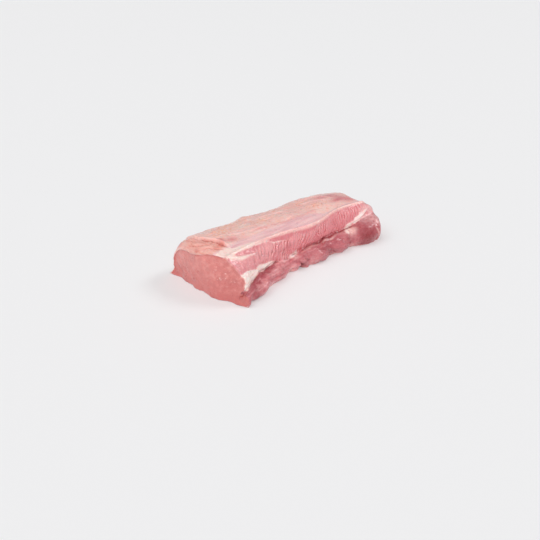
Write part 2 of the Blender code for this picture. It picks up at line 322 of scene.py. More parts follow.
def membrane_relief(x, y):
    """Wrinkles that run lengthwise in the membrane, and shallow dents between them."""
    wrinkles = np.sin(y / 0.0031 + 1.7 * np.sin(x / 0.019) + 0.8 * np.sin(x / 0.0073))
    dents = np.sin(x / 0.0125 + 1.1) * np.sin(y / 0.0105 + 0.6 + np.sin(x / 0.027))
    covered = ease(y, -0.016, 0.000) * ease(x, -0.090, -0.076)
    return MEMBRANE_WAVE * (0.25 * wrinkles + dents) * covered


def top_relief(x, y):
    """Forms on the membrane side: the folded crease, the wrinkles and a few knots of fat."""
    knots = sum(height * patch(x, y, place) for *place, height in TOP_KNOTS)
    return crease_relief(x, y) + membrane_relief(x, y) + knots


def groove_line(x):
    """The height of the groove along the loin, which wanders a little."""
    places = np.stack((x, np.zeros_like(x), np.zeros_like(x)), axis=-1)
    rises = GROOVE_WAVE * hills(x, CHAIN_LOBES[1:-2]) + hills(x, GROOVE_RISES)
    return along_loin(x, GROOVE_Z) + rises + rough(places, GROOVE_WANDER)


def groove_relief(x, z):
    """The groove between the loin and its chain, with pits, a rolled lip below it and fat on it."""
    groove_z = groove_line(x)
    open_ends = (0.4 + 0.6 * ease(x, -0.104, -0.094)) * ease(-x, -0.106, -0.084)
    cleft = GROOVE_DEPTH * hills(z - groove_z, GROOVE_CLEFT) * open_ends * (1 + hills(x, GROOVE_PITS))
    lip = bump(z, groove_z - 0.0026, 0.0015) * ease(x, -0.030, 0.005) * ease(-x, -0.078, -0.068)
    pad_x, pad_z = np.transpose(FAT_PAD_TOP)
    pad_top = smooth(np.clip(x, pad_x[0], pad_x[-1]), pad_x, pad_z)
    pad = np.sin(np.pi * np.clip((z - groove_z) / (pad_top + 0.001 - groove_z), 0, 1)) ** 0.7
    return LIP_HEIGHT * lip - cleft + FAT_PAD_HEIGHT * pad * ease(-x, 0.038, 0.056)


def chain_relief(x, z):
    """The chain's lobes, the notch in its lower edge and the fold across its far end."""
    groove_z = along_loin(x, GROOVE_Z)
    height = LOBE_HEIGHT * hills(x, CHAIN_LOBES) * ease(-z, -groove_z, -0.55 * groove_z)
    height -= NOTCH_DEPTH * bump(x, NOTCH_X, NOTCH_REACH) * ease(-z, -0.011, -0.005)
    height += NOTCH_TIP_HEIGHT * bump(x, NOTCH_TIP_X, NOTCH_TIP_REACH) * ease(-z, -0.006, 0.0)
    height += TOE_LUMP_HEIGHT * patch(x, z, TOE_LUMP)
    return height - END_FOLD_DEPTH * bump(x, END_FOLD_X, END_FOLD_REACH) * ease(-z, -0.026, -0.020)


def large_relief(x, y, z):
    """How far each point of the side surface stands out from the plain body."""
    chain_side = ease(-y, 0.021, 0.027)
    top = (1 - chain_side) * ease(z, 0.018, 0.034)
    strand, _ = off_path(x, z, STRAND_PATH)
    side = SEAM_HEIGHT * bump(strand, 0, 0.0015) + groove_relief(x, z) + chain_relief(x, z)
    cord = 0.8 + 0.6 * ease(x, 0.045, 0.070)
    seam = SEAM_HEIGHT * cord * bump(y, along_loin(x, RIDGE_Y) + 0.0004, 0.0016) * ease(z, 0.034, 0.038)
    waves = np.sin(x / 0.011) * np.sin(z / 0.007 + np.sin(x / 0.023))
    fat_side = MEMBRANE_WAVE * waves * ease(y, 0.022, 0.030) * ease(z, 0.002, 0.010)
    return top_relief(x, y) * top + side * chain_side + seam + fat_side


def pull_flaps(points, distance):
    """Draws out the two torn flaps at the lower corners of the cut face, which lie on the ground."""
    x, y, z = points.T
    near = np.exp(-((distance / FLAP_REACH) ** 2))
    fat_flap = near * np.clip(1 - z / 0.0085, 0, 1) ** 1.5 * ease(y, 0.030, 0.046)
    chain_flap = near * np.clip(1 - z / 0.0105, 0, 1) ** 1.3 * ease(-y, 0.044, 0.051)
    return points + fat_flap[:, None] * FAT_FLAP + chain_flap[:, None] * CHAIN_FLAP


# The lean slope between groove and ridge: bundles of muscle fibre that lean towards the far end, held
# by thin pale sheaths. They are wide near the cut, where a few gaps have opened, and finer further on.
BUNDLE_PITCH = ((-0.110, 0.0070), (-0.060, 0.0062), (-0.030, 0.0050), (0.000, 0.0043), (0.060, 0.0041),
                (0.130, 0.0044))
BUNDLE_LEAN = ((-0.110, 0.25), (-0.050, 0.30), (-0.010, 0.50), (0.040, 0.70), (0.130, 0.80))
BUNDLE_SHOWS = ((-0.110, 0.10), (-0.080, 0.16), (-0.060, 0.55), (-0.035, 1.10), (0.000, 1.2), (0.060, 1.1),
                (0.085, 0.80), (0.130, 0.35))
BUNDLE_SLANTS = ((1.0, 0.0, 1.0), (1.24, 0.16, -0.8))
BUNDLE_WANDER = ((0.0020, 0.012, 3), (0.0008, 0.0050, 4))
BUNDLE_BEND = 4.5
MID_SLOPE_Z = 0.030
BUNDLE_HEIGHT = 0.00058
BUNDLE_CREST = 0.15
GAP_DEPTH = 0.00060
GAP_PLACE = (0.80, 0.24)
SLASH_DEPTH = 0.0010
SLOPE_GRAIN = ((0.00024, 0.0034, 9), (0.00014, 0.0016, 10))
PAD_THICKNESS = 0.0006
PAD_STRAND_HEIGHT = 0.00075
PAD_GRAIN = ((0.00030, 0.0030, 25),)
SLASHES = (
    (((-0.0664, 0.0362), (-0.0690, 0.0320), (-0.0704, 0.0290)), 0.0013),
    (((-0.0574, 0.0372), (-0.0578, 0.0330), (-0.0596, 0.0286)), 0.0015),
    (((-0.0536, 0.0352), (-0.0545, 0.0310)), 0.0010),
    (((-0.0494, 0.0345), (-0.0508, 0.0308)), 0.0011),
    (((-0.0436, 0.0340), (-0.0446, 0.0300), (-0.0462, 0.0262)), 0.0014),
    (((-0.0390, 0.0330), (-0.0404, 0.0272)), 0.0016),
    (((-0.0326, 0.0306), (-0.0334, 0.0270), (-0.0350, 0.0240)), 0.0012),
    (((-0.0276, 0.0300), (-0.0288, 0.0252), (-0.0292, 0.0222)), 0.0014),
    (((-0.0196, 0.0288), (-0.0208, 0.0242), (-0.0218, 0.0204)), 0.0013),
    (((-0.0150, 0.0300), (-0.0162, 0.0250), (-0.0170, 0.0222)), 0.0012),
    (((-0.0092, 0.0312), (-0.0102, 0.0262), (-0.0112, 0.0228)), 0.0011),
    (((-0.0036, 0.0318), (-0.0048, 0.0270), (-0.0056, 0.0240)), 0.0010),
)
PLAIN_LEAN = (
    ((-0.083, 0.0442), (-0.064, 0.0458), (-0.051, 0.0455), (-0.045, 0.0425), (-0.056, 0.0408),
     (-0.066, 0.0400), (-0.076, 0.0414)),
    ((-0.040, 0.0414), (-0.024, 0.0440), (-0.014, 0.0430), (-0.003, 0.0410), (-0.003, 0.0365),
     (-0.015, 0.0348), (-0.030, 0.0380)),
    ((0.001, 0.0420), (0.017, 0.0405), (0.034, 0.0385), (0.026, 0.0341), (0.010, 0.0345), (0.003, 0.0370)),
)
NEAR_PAD = (
    (-0.1040, 0.0315), (-0.0944, 0.0312), (-0.0854, 0.0306), (-0.0780, 0.0280), (-0.0718, 0.0256),
    (-0.0631, 0.0256), (-0.0570, 0.0236), (-0.0516, 0.0222), (-0.0417, 0.0206), (-0.0357, 0.0184),
    (-0.0404, 0.0164), (-0.0494, 0.0160), (-0.0530, 0.0148), (-0.0574, 0.0156), (-0.0625, 0.0138),
    (-0.0676, 0.0150), (-0.0706, 0.0130), (-0.0770, 0.0142), (-0.0805, 0.0118), (-0.0853, 0.0132),
    (-0.0880, 0.0124), (-0.0918, 0.0150), (-0.0965, 0.0172), (-0.1040, 0.0190),
)
FAT_PATCHES = (
    ((-0.0145, 0.0170), (-0.0129, 0.0180), (-0.0071, 0.0188), (-0.0010, 0.0194), (0.0002, 0.0182),
     (-0.0060, 0.0168), (-0.0110, 0.0160)),
)
FAR_STREAK = (
    (0.0690, 0.0190, 0.0002), (0.0720, 0.0198, 0.0014), (0.0750, 0.0214, 0.0006), (0.0785, 0.0222, 0.0018),
    (0.0815, 0.0240, 0.0010), (0.0850, 0.0242, 0.0013), (0.0885, 0.0252, 0.0004), (0.0925, 0.0252, 0.0012),
    (0.0965, 0.0268, 0.0024), (0.1010, 0.0278, 0.0021), (0.1050, 0.0296, 0.0024), (0.1095, 0.0310, 0.0017),
    (0.1135, 0.0325, 0.0013), (0.1170, 0.0336, 0.0003), (0.1200, 0.0342, -0.0010),
)


def read_off(x, table):
    """Reads a table of places along the loin and the values there."""
    return np.interp(x, *np.transpose(table))


def within(u, v, outline):
    """The distance of points (u, v) from a closed outline: positive inside it, negative outside."""
    closed = np.array(list(outline) + [outline[0]], float)
    distance, _ = off_path(u, v, closed)
    inside = np.zeros(np.shape(u), bool)
    for (u0, v0), (u1, v1) in zip(closed[:-1], closed[1:]):
        crosses = (v0 > v) != (v1 > v)
        slant = np.where(v1 == v0, 0, (v - v0) / np.where(v1 == v0, 1, v1 - v0))
        inside ^= crosses & (u < u0 + slant * (u1 - u0))
    return np.where(inside, distance, -distance)


def ridged(points, size, seed):
    """Uneven folds with narrow crests, from -1 to 1."""
    return 1 - 2 * np.abs(drift(points, size, seed))


def bundles(x, y, z):
    """Two counts of the fibre bundles that slant differently, the share of the second, how strongly
    the bundles show, and where the lean is plain."""
    points = np.stack((x, y, z), axis=-1)
    table = np.linspace(BUNDLE_PITCH[0][0] - 0.03, BUNDLE_PITCH[-1][0] + 0.03, 400)
    turns = np.cumsum(1 / read_off(table, BUNDLE_PITCH)) * (table[1] - table[0])
    above = z - MID_SLOPE_Z
    counts = []
    for finer, more_lean, swing in BUNDLE_SLANTS:
        along = x - (read_off(x, BUNDLE_LEAN) + more_lean) * above + BUNDLE_BEND * above**2
        counts.append(finer * np.interp(along + swing * rough(points, BUNDLE_WANDER), table, turns))
    share = ease(drift(points, (0.014, 0.012, 0.008), 7), -0.10, 0.10)
    plain = np.max([ease(within(x, z, outline), -0.0010, 0.0008) for outline in PLAIN_LEAN], axis=0)
    fading = np.clip(0.70 + 0.85 * drift(points, (0.006, 0.008, 0.006), 8), 0.05, 1.2)
    strength = read_off(x, BUNDLE_SHOWS) * fading * (1 - 0.92 * plain) * (1 - fat_cover(x, z))
    return counts, share, strength, plain


def far_streak(x, z):
    """Millimetres inside the uneven streak of fat between the lean and the chain's far lump."""
    streak_x, streak_z, half = np.transpose(FAR_STREAK)
    off, along = off_path(x, z, np.column_stack((streak_x, streak_z)))
    steps = np.concatenate(([0], np.cumsum(np.hypot(np.diff(streak_x), np.diff(streak_z)))))
    return np.interp(along, steps / steps[-1], half) - off


def fat_cover(x, z):
    """Where the fat pad and the fat patches cover the side, from 0 to 1."""
    inside = np.max([within(x, z, outline) for outline in (NEAR_PAD, *FAT_PATCHES)], axis=0)
    return ease(np.maximum(inside, far_streak(x, z)), -0.0010, 0.0006)


def slash_marks(x, z):
    """Where the gaps between bundles have opened near the cut, tapered at both ends."""
    marks = []
    for path, width in SLASHES:
        off, along = off_path(x, z, path)
        taper = np.sin(np.pi * along)
        marks.append(bump(off, 0, width * (0.35 + 0.65 * taper)) * taper**0.5)
    return np.max(marks, axis=0)


def slope_relief(x, y, z, places):
    """The bundles stand out a little on the slope, and the gaps between them are cut in."""
    points = np.stack((x, y, z), axis=-1)
    counts, second, strength, _ = bundles(x, y, z)
    first_shape, second_shape = (
        BUNDLE_HEIGHT * np.cos(2 * np.pi * (count - BUNDLE_CREST))
        - GAP_DEPTH * bump(count % 1.0, *GAP_PLACE)
        for count in counts
    )
    height = strength * (first_shape + (second_shape - first_shape) * second)
    height += rough(points, SLOPE_GRAIN) - SLASH_DEPTH * slash_marks(x, z)
    strands = PAD_STRAND_HEIGHT * ridged(points, (0.016, 0.0050, 0.0034), 13)
    pad = PAD_THICKNESS + strands + rough(points, PAD_GRAIN)
    cover = fat_cover(x, z)
    share = ease(places, GROOVE + 0.05, GROOVE + 0.30) * ease(-places, -RIDGE + 0.30, -SLOPE_MIDDLE - 0.9)
    return share * (height * (1 - cover) + pad * cover)


# The chain muscle below the groove: a loose, soft rope of lean that is creased and folded lengthwise.
# Membrane and a little fat hold it to the loin, and it ends in a smooth lump at the far end.
CHAIN_CREASES = (
    (((-0.0890, 0.0083), (-0.0800, 0.0112), (-0.0743, 0.0102)), 0.0008),
    (((-0.0660, 0.0130), (-0.0575, 0.0108), (-0.0480, 0.0098), (-0.0410, 0.0092), (-0.0330, 0.0080)),
     0.0010),
    (((-0.0440, 0.0140), (-0.0380, 0.0132), (-0.0300, 0.0125), (-0.0200, 0.0120)), 0.0007),
    (((-0.0160, 0.0140), (-0.0080, 0.0110), (-0.0040, 0.0060), (-0.0030, -0.0030)), 0.0016),
    (((0.0005, 0.0145), (0.0029, 0.0109), (0.0068, 0.0072), (0.0050, 0.0040)), 0.0012),
    (((0.0225, 0.0152), (0.0290, 0.0128), (0.0360, 0.0118), (0.0410, 0.0090)), 0.0010),
    (((0.0398, 0.0125), (0.0430, 0.0080), (0.0467, 0.0022)), 0.0014),
    (((0.0712, 0.0195), (0.0722, 0.0150), (0.0716, 0.0100), (0.0760, 0.0040)), 0.0012),
)
CHAIN_FOLDS = (
    (0.00165, (0.013, 0.008, 0.0065), 11),
    (0.00058, (0.006, 0.004, 0.0030), 34),
    (0.00016, (0.0050, 0.0028, 0.0018), 12),
)


def chain_creases(x, z):
    """Where the chain is creased, from 0 to 1, and how deep, fading out at both ends of a crease."""
    marks = []
    for path, _ in CHAIN_CREASES:
        off, along = off_path(x, z, path)
        marks.append(bump(off, 0, 0.0013) * np.sin(np.pi * np.clip(along, 0.06, 0.94)) ** 0.5)
    depth = sum(mark * deep for mark, (_, deep) in zip(marks, CHAIN_CREASES))
    return np.max(marks, axis=0), depth


def chain_fine_relief(x, y, z, places):
    """Creases, soft lengthwise folds and a fine grain on the chain, which is smooth at its far lump."""
    points = np.stack((x, y, z + 0.25 * np.abs(x - 0.02)), axis=-1)
    share = ease(-places, -GROOVE + 0.12, -GROOVE + 0.45)
    loose = 1 - 0.65 * ease(x, 0.078, 0.088)
    return share * (loose * rough(points, CHAIN_FOLDS) - chain_creases(x, z)[1])


# The fat cap over the top and the rear side: a thin skin of fat and silvery membrane. It lies in fine
# lengthwise wrinkles, and in front of the crease it is folded across, where it was cut.
FRONT_WRINKLES = (
    ((-0.1101, 0.0066), (-0.1086, 0.0037), (-0.1054, -0.0012)),
    ((-0.1040, -0.0010), (-0.1013, -0.0054), (-0.0997, -0.0091), (-0.0913, -0.0159)),
    ((-0.1085, 0.0200), (-0.1070, 0.0120), (-0.1040, 0.0060), (-0.0990, 0.0000)),
    ((-0.1060, 0.0330), (-0.1045, 0.0240), (-0.1035, 0.0150)),
)
CAP_FOLDS = (
    ((0.0300, 0.0290), (0.0540, 0.0215), (0.0700, 0.0180), (0.0836, 0.0107), (0.0950, 0.0000),
     (0.1077, -0.0138)),
    ((0.0450, 0.0120), (0.0620, 0.0080), (0.0780, 0.0020), (0.0900, -0.0060)),
    ((-0.0740, 0.0040), (-0.0560, -0.0010), (-0.0380, -0.0030), (-0.0180, -0.0020)),
    ((-0.0300, 0.0160), (-0.0080, 0.0150), (0.0150, 0.0110), (0.0300, 0.0050)),
)
CAP_FOLD_HEIGHT = 0.00055
LENGTHWISE_HEIGHT = 0.00030
LENGTHWISE_WRINKLES = ((0.00022, (0.0060, 0.0020, 0.0020), 16),)
CAP_GRAIN = ((0.00018, 0.0024, 17),)
PLEAT_HEIGHT = 0.00040
FINE_PLEAT_HEIGHT = 0.00032
FRONT_WRINKLE_DEPTH = 0.0007
REAR_LOBES = ((0.0010, (0.026, 0.016, 0.012), 33),)
LIP_REACH = 0.0012
LIP_WANDER = ((0.65, 0.0065, 19), (0.30, 0.0025, 37))
LIP_FADE = 0.0012
RAGGED_FOOT = ((0.0009, 0.0045, 20), (0.0006, 0.0018, 21))
FOOT_RAG_HEIGHT = 0.003
RAGGED_TOE = ((0.0011, 0.0060, 31), (0.0006, 0.0026, 32))
TOE_RAG_HEIGHT = 0.0022
TOE_RAG_REACH = 0.0020
FAR_FADE = 0.008
CUT_FADE = 0.006
OFF_GROUND = 0.0003


def cap_folds(x, y):
    """The longer folds of the fat cap, from 0 to 1, which fade out at both ends."""
    marks = []
    for path in CAP_FOLDS:
        off, along = off_path(x, y, path)
        marks.append(bump(off, 0, 0.0012) * ease(along, 0.0, 0.25) * ease(-along, -1.0, -0.75))
    return np.max(marks, axis=0)


def cap_relief(x, y, z, places):
    """Wrinkles of the fat cap: lengthwise behind the crease, across in front of it, lobed at the rear."""
    points = np.stack((x, y, z), axis=-1)
    swept = points + 0.004 * drift(points, 0.024, 14)[..., None] * (0, 1, 0)
    height = LENGTHWISE_HEIGHT * ridged(swept, (0.018, 0.0042, 0.0042), 15)
    small = rough(swept, LENGTHWISE_WRINKLES) + rough(points, CAP_GRAIN)
    height += small + CAP_FOLD_HEIGHT * cap_folds(x, y)
    behind, _ = behind_crease(x, y)
    front = ease(-behind, -0.001, 0.003)
    crossed = points + 0.005 * drift(points, 0.013, 18)[..., None] * (1, 0, 0)
    wrinkle = np.max([bump(off_path(x, y, path)[0], 0, 0.0009) for path in FRONT_WRINKLES], axis=0)
    across = PLEAT_HEIGHT * ridged(crossed, (0.0040, 0.0150, 0.0150), 35) - FRONT_WRINKLE_DEPTH * wrinkle
    across += FINE_PLEAT_HEIGHT * ridged(crossed, (0.0022, 0.0080, 0.0080), 36)
    lobes = rough(points, REAR_LOBES) * ease(y, 0.022, 0.034)
    share = ease(places, RIDGE + 0.9, RIDGE + 1.5)
    return share * (height * (1 - 0.7 * front) + across * front + lobes)


def skin_lip(points, places):
    """How far the skin of the fat cap laps out over the cut face along its border."""
    wander = np.clip(0.60 + rough(points, LIP_WANDER), 0.08, 1.4)
    return LIP_REACH * wander * ease(places, RIDGE + 0.3, RIDGE + 1.2)


def body_grid():
    """The side surface and the underside as rows of points, and each column's place on its section."""
    distances = row_distances()
    grid = np.array([row_points(distance) for distance in distances])
    places = section_places()
    shell = len(places)
    sides = grid[:, :shell]
    plain = sides.copy()
    fade = ease(LENGTH - distances, 0.0, FAR_FADE)[:, None]
    outline = np.moveaxis(plain, 2, 0)
    fine = sum(relief(*outline, places[None, :]) for relief in (slope_relief, chain_fine_relief, cap_relief))
    for relief in (large_relief(*outline), fine):
        normals = np.cross(np.gradient(sides, axis=0), np.gradient(sides, axis=1))
        normals /= np.linalg.norm(normals, axis=2, keepdims=True)
        moves = normals * (relief * fade)[:, :, None]
        moves[:NEAR_ROWS + 2] = moves[NEAR_ROWS + 2] * (0, 1, 1)
        sides = sides + moves
    shift = near_face_x(sides[:, :, 1], sides[:, :, 2]) - near_face_x(plain[:, :, 1], plain[:, :, 2])
    sides[:, :, 0] += shift * np.exp(-distances / CUT_FADE)[:, None]
    sides[:, 1:-1, 2] = np.maximum(sides[:, 1:-1, 2], OFF_GROUND)
    ragged = rough(plain, RAGGED_FOOT)
    sides[:, :, 1] += ragged * np.exp(-plain[:, :, 2] / FOOT_RAG_HEIGHT) * fade
    sides[:, :, 0] -= skin_lip(plain, places[None, :]) * np.exp(-distances / LIP_FADE)[:, None]
    sides[:, [0, -1], 2] = 0
    grid[:, :shell] = sides
    across = np.linspace(1, 0, UNDERSIDE_COLUMNS + 1)[None, 1:-1]
    grid[:, shell:, 1] = sides[:, :1, 1] + (sides[:, -1:, 1] - sides[:, :1, 1]) * across
    level = grid * (0, 1, 0)
    toe = rough(level, RAGGED_TOE) * np.exp(-grid[:, :, 2] / TOE_RAG_HEIGHT)
    grid[:, :, 0] -= toe * np.exp(-distances / TOE_RAG_REACH)[:, None]
    grid = np.array([pull_flaps(row, distance) for row, distance in zip(grid, distances)])
    return grid, plain, distances, places


# The two ends, which close the body ring by ring. The near one is the flat cut across the muscle, with
# soft swells, flecks of gristle near the chain, a fold along its lower fat corner and a torn crevice.
FACE_RINGS = 40
FAR_RINGS = 12
RING_SOFTENING = 4
RING_SPREAD = 1.25
RINGS_MEET_AT = 0.26
OUTSET_FADE = 0.0025
LIP_THICKNESS = 0.0005
FACE_SWELLS = ((0.00060, 0.013, 22), (0.00030, 0.0050, 23), (0.00012, 0.0020, 24))
FLECKED_PLACES = ((-0.0265, 0.0255, 0.0080, 0.0070), (-0.0180, 0.0300, 0.0040, 0.0040),
                  (-0.0360, 0.0190, 0.0035, 0.0050))
FACE_FOLD = ((0.0430, 0.0198), (0.0409, 0.0145), (0.0368, 0.0102), (0.0310, 0.0080))
FACE_FOLD_DEPTH = 0.0005
CREVICE = ((-0.0505, 0.0168), (-0.0488, 0.0150), (-0.0480, 0.0128), (-0.0462, 0.0112), (-0.0458, 0.0090),
           (-0.0436, 0.0078), (-0.0424, 0.0056))
CREVICE_DEPTH = 0.0019
CREVICE_BRANCH = ((-0.0480, 0.0128), (-0.0492, 0.0110), (-0.0500, 0.0084))
BRANCH_DEPTH = 0.0009
CUT_LUMP = (-0.0520, 0.0090, 0.0040, 0.0055)
CUT_LUMP_HEIGHT = 0.0016
FAR_SWELL_SHARE = 0.5


def face_relief(y, z):
    """How far the near cut face stands out: soft swells, the grain of cut fibres and folds."""
    points = np.stack((np.zeros_like(y), y, z), axis=-1)
    height = rough(points, FACE_SWELLS) + CUT_LUMP_HEIGHT * patch(y, z, CUT_LUMP)
    for path, depth, reach in (
        (FACE_FOLD, FACE_FOLD_DEPTH, 0.0022),
        (CREVICE, CREVICE_DEPTH, 0.0012),
        (CREVICE_BRANCH, BRANCH_DEPTH, 0.0010),
    ):
        height -= depth * bump(off_path(y, z, path)[0], 0, reach)
    return height


def end_rings(border, lip, surface_x, relief, count):
    """The points inside an end's border, ring by ring towards its middle."""
    middle = np.array([(border[:, 1].min() + border[:, 1].max()) / 2, border[:, 2].max() * RINGS_MEET_AT])
    outset = border[:, 0] + lip - surface_x(border[:, 1], border[:, 2])
    outline = border[:, 1:]
    for ring in 1 - np.linspace(0, 1, count + 1)[1:] ** RING_SPREAD:
        for _ in range(RING_SOFTENING):
            outline = (np.roll(outline, 1, axis=0) + 2 * outline + np.roll(outline, -1, axis=0)) / 4
        y, z = (middle + (outline - middle) * ring).T
        inside = (1 - ring) * np.linalg.norm(border[:, 1:] - middle, axis=1)
        x = surface_x(y, z) + outset * np.exp(-inside / OUTSET_FADE) - lip * np.exp(-inside / LIP_THICKNESS)
        points = np.column_stack((x - relief(y, z) * ease(inside, 0.0002, 0.0036), y, z))
        yield points if ring > 0 else points[:1]


grid, plain_sides, distances, places = body_grid()
rows, columns = grid.shape[:2]
points = list(grid.reshape(-1, 3))
column_of = list(np.tile(np.arange(columns), rows))
end_of = [0] * len(points)
index = np.arange(rows * columns).reshape(rows, columns)
column = np.arange(columns)
beside = (column + 1) % columns
faces = []
for near, far in zip(index[:-1], index[1:]):
    faces += list(zip(far[column], far[beside], near[beside], near[column]))
lips = np.zeros(columns)
lips[:len(places)] = skin_lip(plain_sides[0], places)
for border, lip, surface_x, relief, count, end in (
    (0, lips, near_face_x, face_relief, FACE_RINGS, -1),
    (rows - 1, 0 * lips, far_end_x, lambda y, z: -FAR_SWELL_SHARE * face_relief(y, z), FAR_RINGS, 1),
):
    outer = index[border]
    for ring in end_rings(grid[border], lip, surface_x, relief, count):
        inner = len(points) + (column if len(ring) > 1 else np.zeros(columns, int))
        points.extend(ring)
        column_of.extend(column[:len(ring)])
        end_of.extend([end] * len(ring))
        for corners in zip(outer[column], outer[beside], inner[beside], inner[column]):
            corners = tuple(dict.fromkeys(corners))
            faces.append(corners[::-1] if end > 0 else corners)
        outer = inner
points = np.array(points)

mesh = bpy.data.meshes.new("pork loin")
mesh.from_pydata((points - (*CENTRE, 0)).tolist(), [], [[int(corner) for corner in face] for face in faces])
mesh.validate()
mesh.shade_smooth()
loin = bpy.data.objects.new("raw_pork_loin", mesh)
bpy.context.scene.collection.objects.link(loin)

# What lies where on the loin. Each tissue, and each place where shade or a highlight is painted, is kept as
# a
# measure over the surface: millimetres inside its border, so that the material can draw the border as sharp
# as it is, or a share from 0 to 1.
WHITE_BAND = ((-0.094, -0.0215, 0.0042), (-0.088, -0.0215, 0.0040), (-0.072, -0.0219, 0.0030),
              (-0.062, -0.0220, 0.0023), (-0.052, -0.0222, 0.0014), (-0.041, -0.0219, 0.0010))
CORNER_PATCH = ((-0.1100, -0.0170), (-0.1020, -0.0150), (-0.0950, -0.0135), (-0.0850, -0.0147),
                (-0.0850, -0.0250), (-0.0930, -0.0275), (-0.1000, -0.0270))
SEAM_WIDTH = ((-0.050, 0.0010), (-0.020, 0.0012), (0.020, 0.0010), (0.055, 0.0013), (0.075, 0.0017),
              (0.110, 0.0021), (0.122, 0.0026), (0.1300, 0.0016))
UPPER_STRAND = ((-0.0580, 0.0437), (-0.0525, 0.0431), (-0.0440, 0.0424), (-0.0378, 0.0409),
                (-0.0329, 0.0380), (-0.0150, 0.0352))
SILVER_EDGE = ((-0.100, -0.0130), (-0.080, -0.0120), (-0.060, -0.0120), (-0.042, -0.0120), (-0.023, -0.0105),
               (-0.001, -0.0100), (0.019, -0.0115), (0.040, -0.0150), (0.056, -0.0230), (0.090, -0.0230),
               (0.130, -0.0240))
WARM_PATCHES = ((0.015, 0.020, 0.010, 0.005), (0.032, 0.027, 0.008, 0.004), (0.066, -0.008, 0.012, 0.004),
                (0.057, -0.003, 0.008, 0.004), (-0.060, 0.018, 0.016, 0.008), (-0.020, 0.006, 0.012, 0.004),
                (-0.074, 0.012, 0.010, 0.010), (-0.038, 0.026, 0.014, 0.006), (0.048, 0.012, 0.012, 0.005))
TOP_LEAN = ((-0.005, 0.0300, 0.009, 0.0040), (0.105, -0.004, 0.012, 0.012), (0.114, -0.016, 0.010, 0.007),
            (0.090, 0.006, 0.016, 0.005), (-0.074, -0.006, 0.010, 0.004), (-0.0844, -0.001, 0.003, 0.003),
            (0.094, -0.0100, 0.012, 0.0035))
TOP_BLUSH = (0.050, 0.008, 0.040, 0.018)
TOP_BLUSH_SHARE = 0.22
PINK_STREAK = ((-0.0420, -0.0060), (-0.0148, -0.0076), (0.0010, -0.0111), (0.0171, -0.0113),
               (0.0337, -0.0119), (0.0480, -0.0125))
# Spots of deep red on the lean and the chain. Some are the meat's own darker red; the large patches on the
# far lump's lower side and the one in the notch are painted shade.
RED_AND_SHADE_PLACES = (
    ((-0.0820, -0.0504, 0.0052), 0.0052, 1.0),
    ((0.0880, -0.0540, 0.0120), 0.0070, 0.5),
    ((-0.0960, -0.0480, 0.0140), 0.0034, 1.0),
    ((-0.0890, -0.0512, 0.0083), 0.0030, 0.3),
    ((-0.0743, -0.0479, 0.0112), 0.0030, 0.3),
    ((-0.0560, -0.0415, 0.0135), 0.0030, 0.7),
    ((-0.0390, -0.0444, 0.0092), 0.0045, 0.5),
    ((-0.0020, -0.0426, 0.0045), 0.0042, 1.3),
    ((0.0316, -0.0437, 0.0145), 0.0040, 0.4),
    ((0.0420, -0.0473, 0.0080), 0.0038, 0.8),
    ((0.0550, -0.0410, 0.0215), 0.0036, 0.5),
    ((0.0975, -0.0570, 0.0100), 0.0100, 1.50),
    ((0.1060, -0.0600, 0.0090), 0.0050, 0.60),
    ((0.1086, -0.0551, 0.0205), 0.0012, 0.7),
    ((0.0695, -0.0080, 0.0430), 0.0014, 0.9),
    ((0.0612, -0.0062, 0.0440), 0.0009, 0.7),
)
# How pale the chain is along the loin. This is mostly its own tone, but the pale step at the far lump's
# crown is a painted highlight, and the dark just past it is painted shade on the lump's lower side.
CHAIN_TONE_AND_LUMP_LIGHTING = ((-0.110, 0.50), (-0.088, 0.30), (-0.081, 0.30), (-0.069, 0.80), (-0.045, 1.00), (-0.020, 0.90),
              (0.010, 0.35), (0.040, 0.00), (0.055, 0.25), (0.068, 0.05), (0.078, 0.45), (0.088, 0.0),
              (0.098, 0.0), (0.125, 0.2))
GRISTLE_FOLD = ((0.1100, 0.0225), (0.1108, 0.0185), (0.1122, 0.0140), (0.1134, 0.0064), (0.1130, 0.0010))
LUMP_HIGHLIGHT_PLACE = (0.0790, -0.0470, 0.0195)
VEILED_END = ((0.0980, 0.0285), (0.1060, 0.0345), (0.1160, 0.0380), (0.1290, 0.0380), (0.1300, 0.0020),
              (0.1230, 0.0030), (0.1200, 0.0120), (0.1150, 0.0200), (0.1060, 0.0225), (0.0980, 0.0235))
LEAN_DEPTH = ((-0.110, 0.70), (-0.090, 0.65), (-0.076, 0.15), (-0.045, 0.0), (-0.035, 0.0), (0.000, 0.05),
              (0.030, 0.40), (0.060, 0.75), (0.110, 0.90))
SHEATH_STRENGTH = ((-0.060, 0.35), (-0.040, 0.80), (0.010, 1.25))
CREASE_END_SHADES = ((-0.0895, -0.0062, 0.0034, 1.3, 1.0), (-0.0846, -0.0010, 0.0026, 1.0, 0.7))
CHAIN_SIDE_Y = -0.018
TOP_FROM_RIDGE = 0.001
TOP_FROM_Z = 0.028
BAND_FROM_Z = 0.030
BAND_END_X = -0.041
SEAM_SPAN = (-0.058, 0.1310)
SEAM_OFFSET = 0.0002
LOWER_STRAND_HALF = 0.0020
UPPER_STRAND_HALF = 0.0009
STRAND_TAPER = 1.1
PAD_OVERLAP = 0.0006
GROOVE_SHIFT = 1.1
GROOVE_SHIFT_REACH = 0.011
CRACK_PLACE = -0.0002
CRACK_REACH = 0.0010
CRACK_HALF = 0.00075
CRACK_NARROWING = 0.0002
WRINKLE_REACH = 0.0010
WRINKLE_LINE_HALF = 0.00015
CREASE_SHADE = (-0.0006, 0.0010)
CREASE_LINE_HALF = 0.0009
CREASE_LINE_PLACE = -0.0004
GRISTLE_FOLD_REACH = 0.0008
FOOT_EDGE_HEIGHT = 0.0011
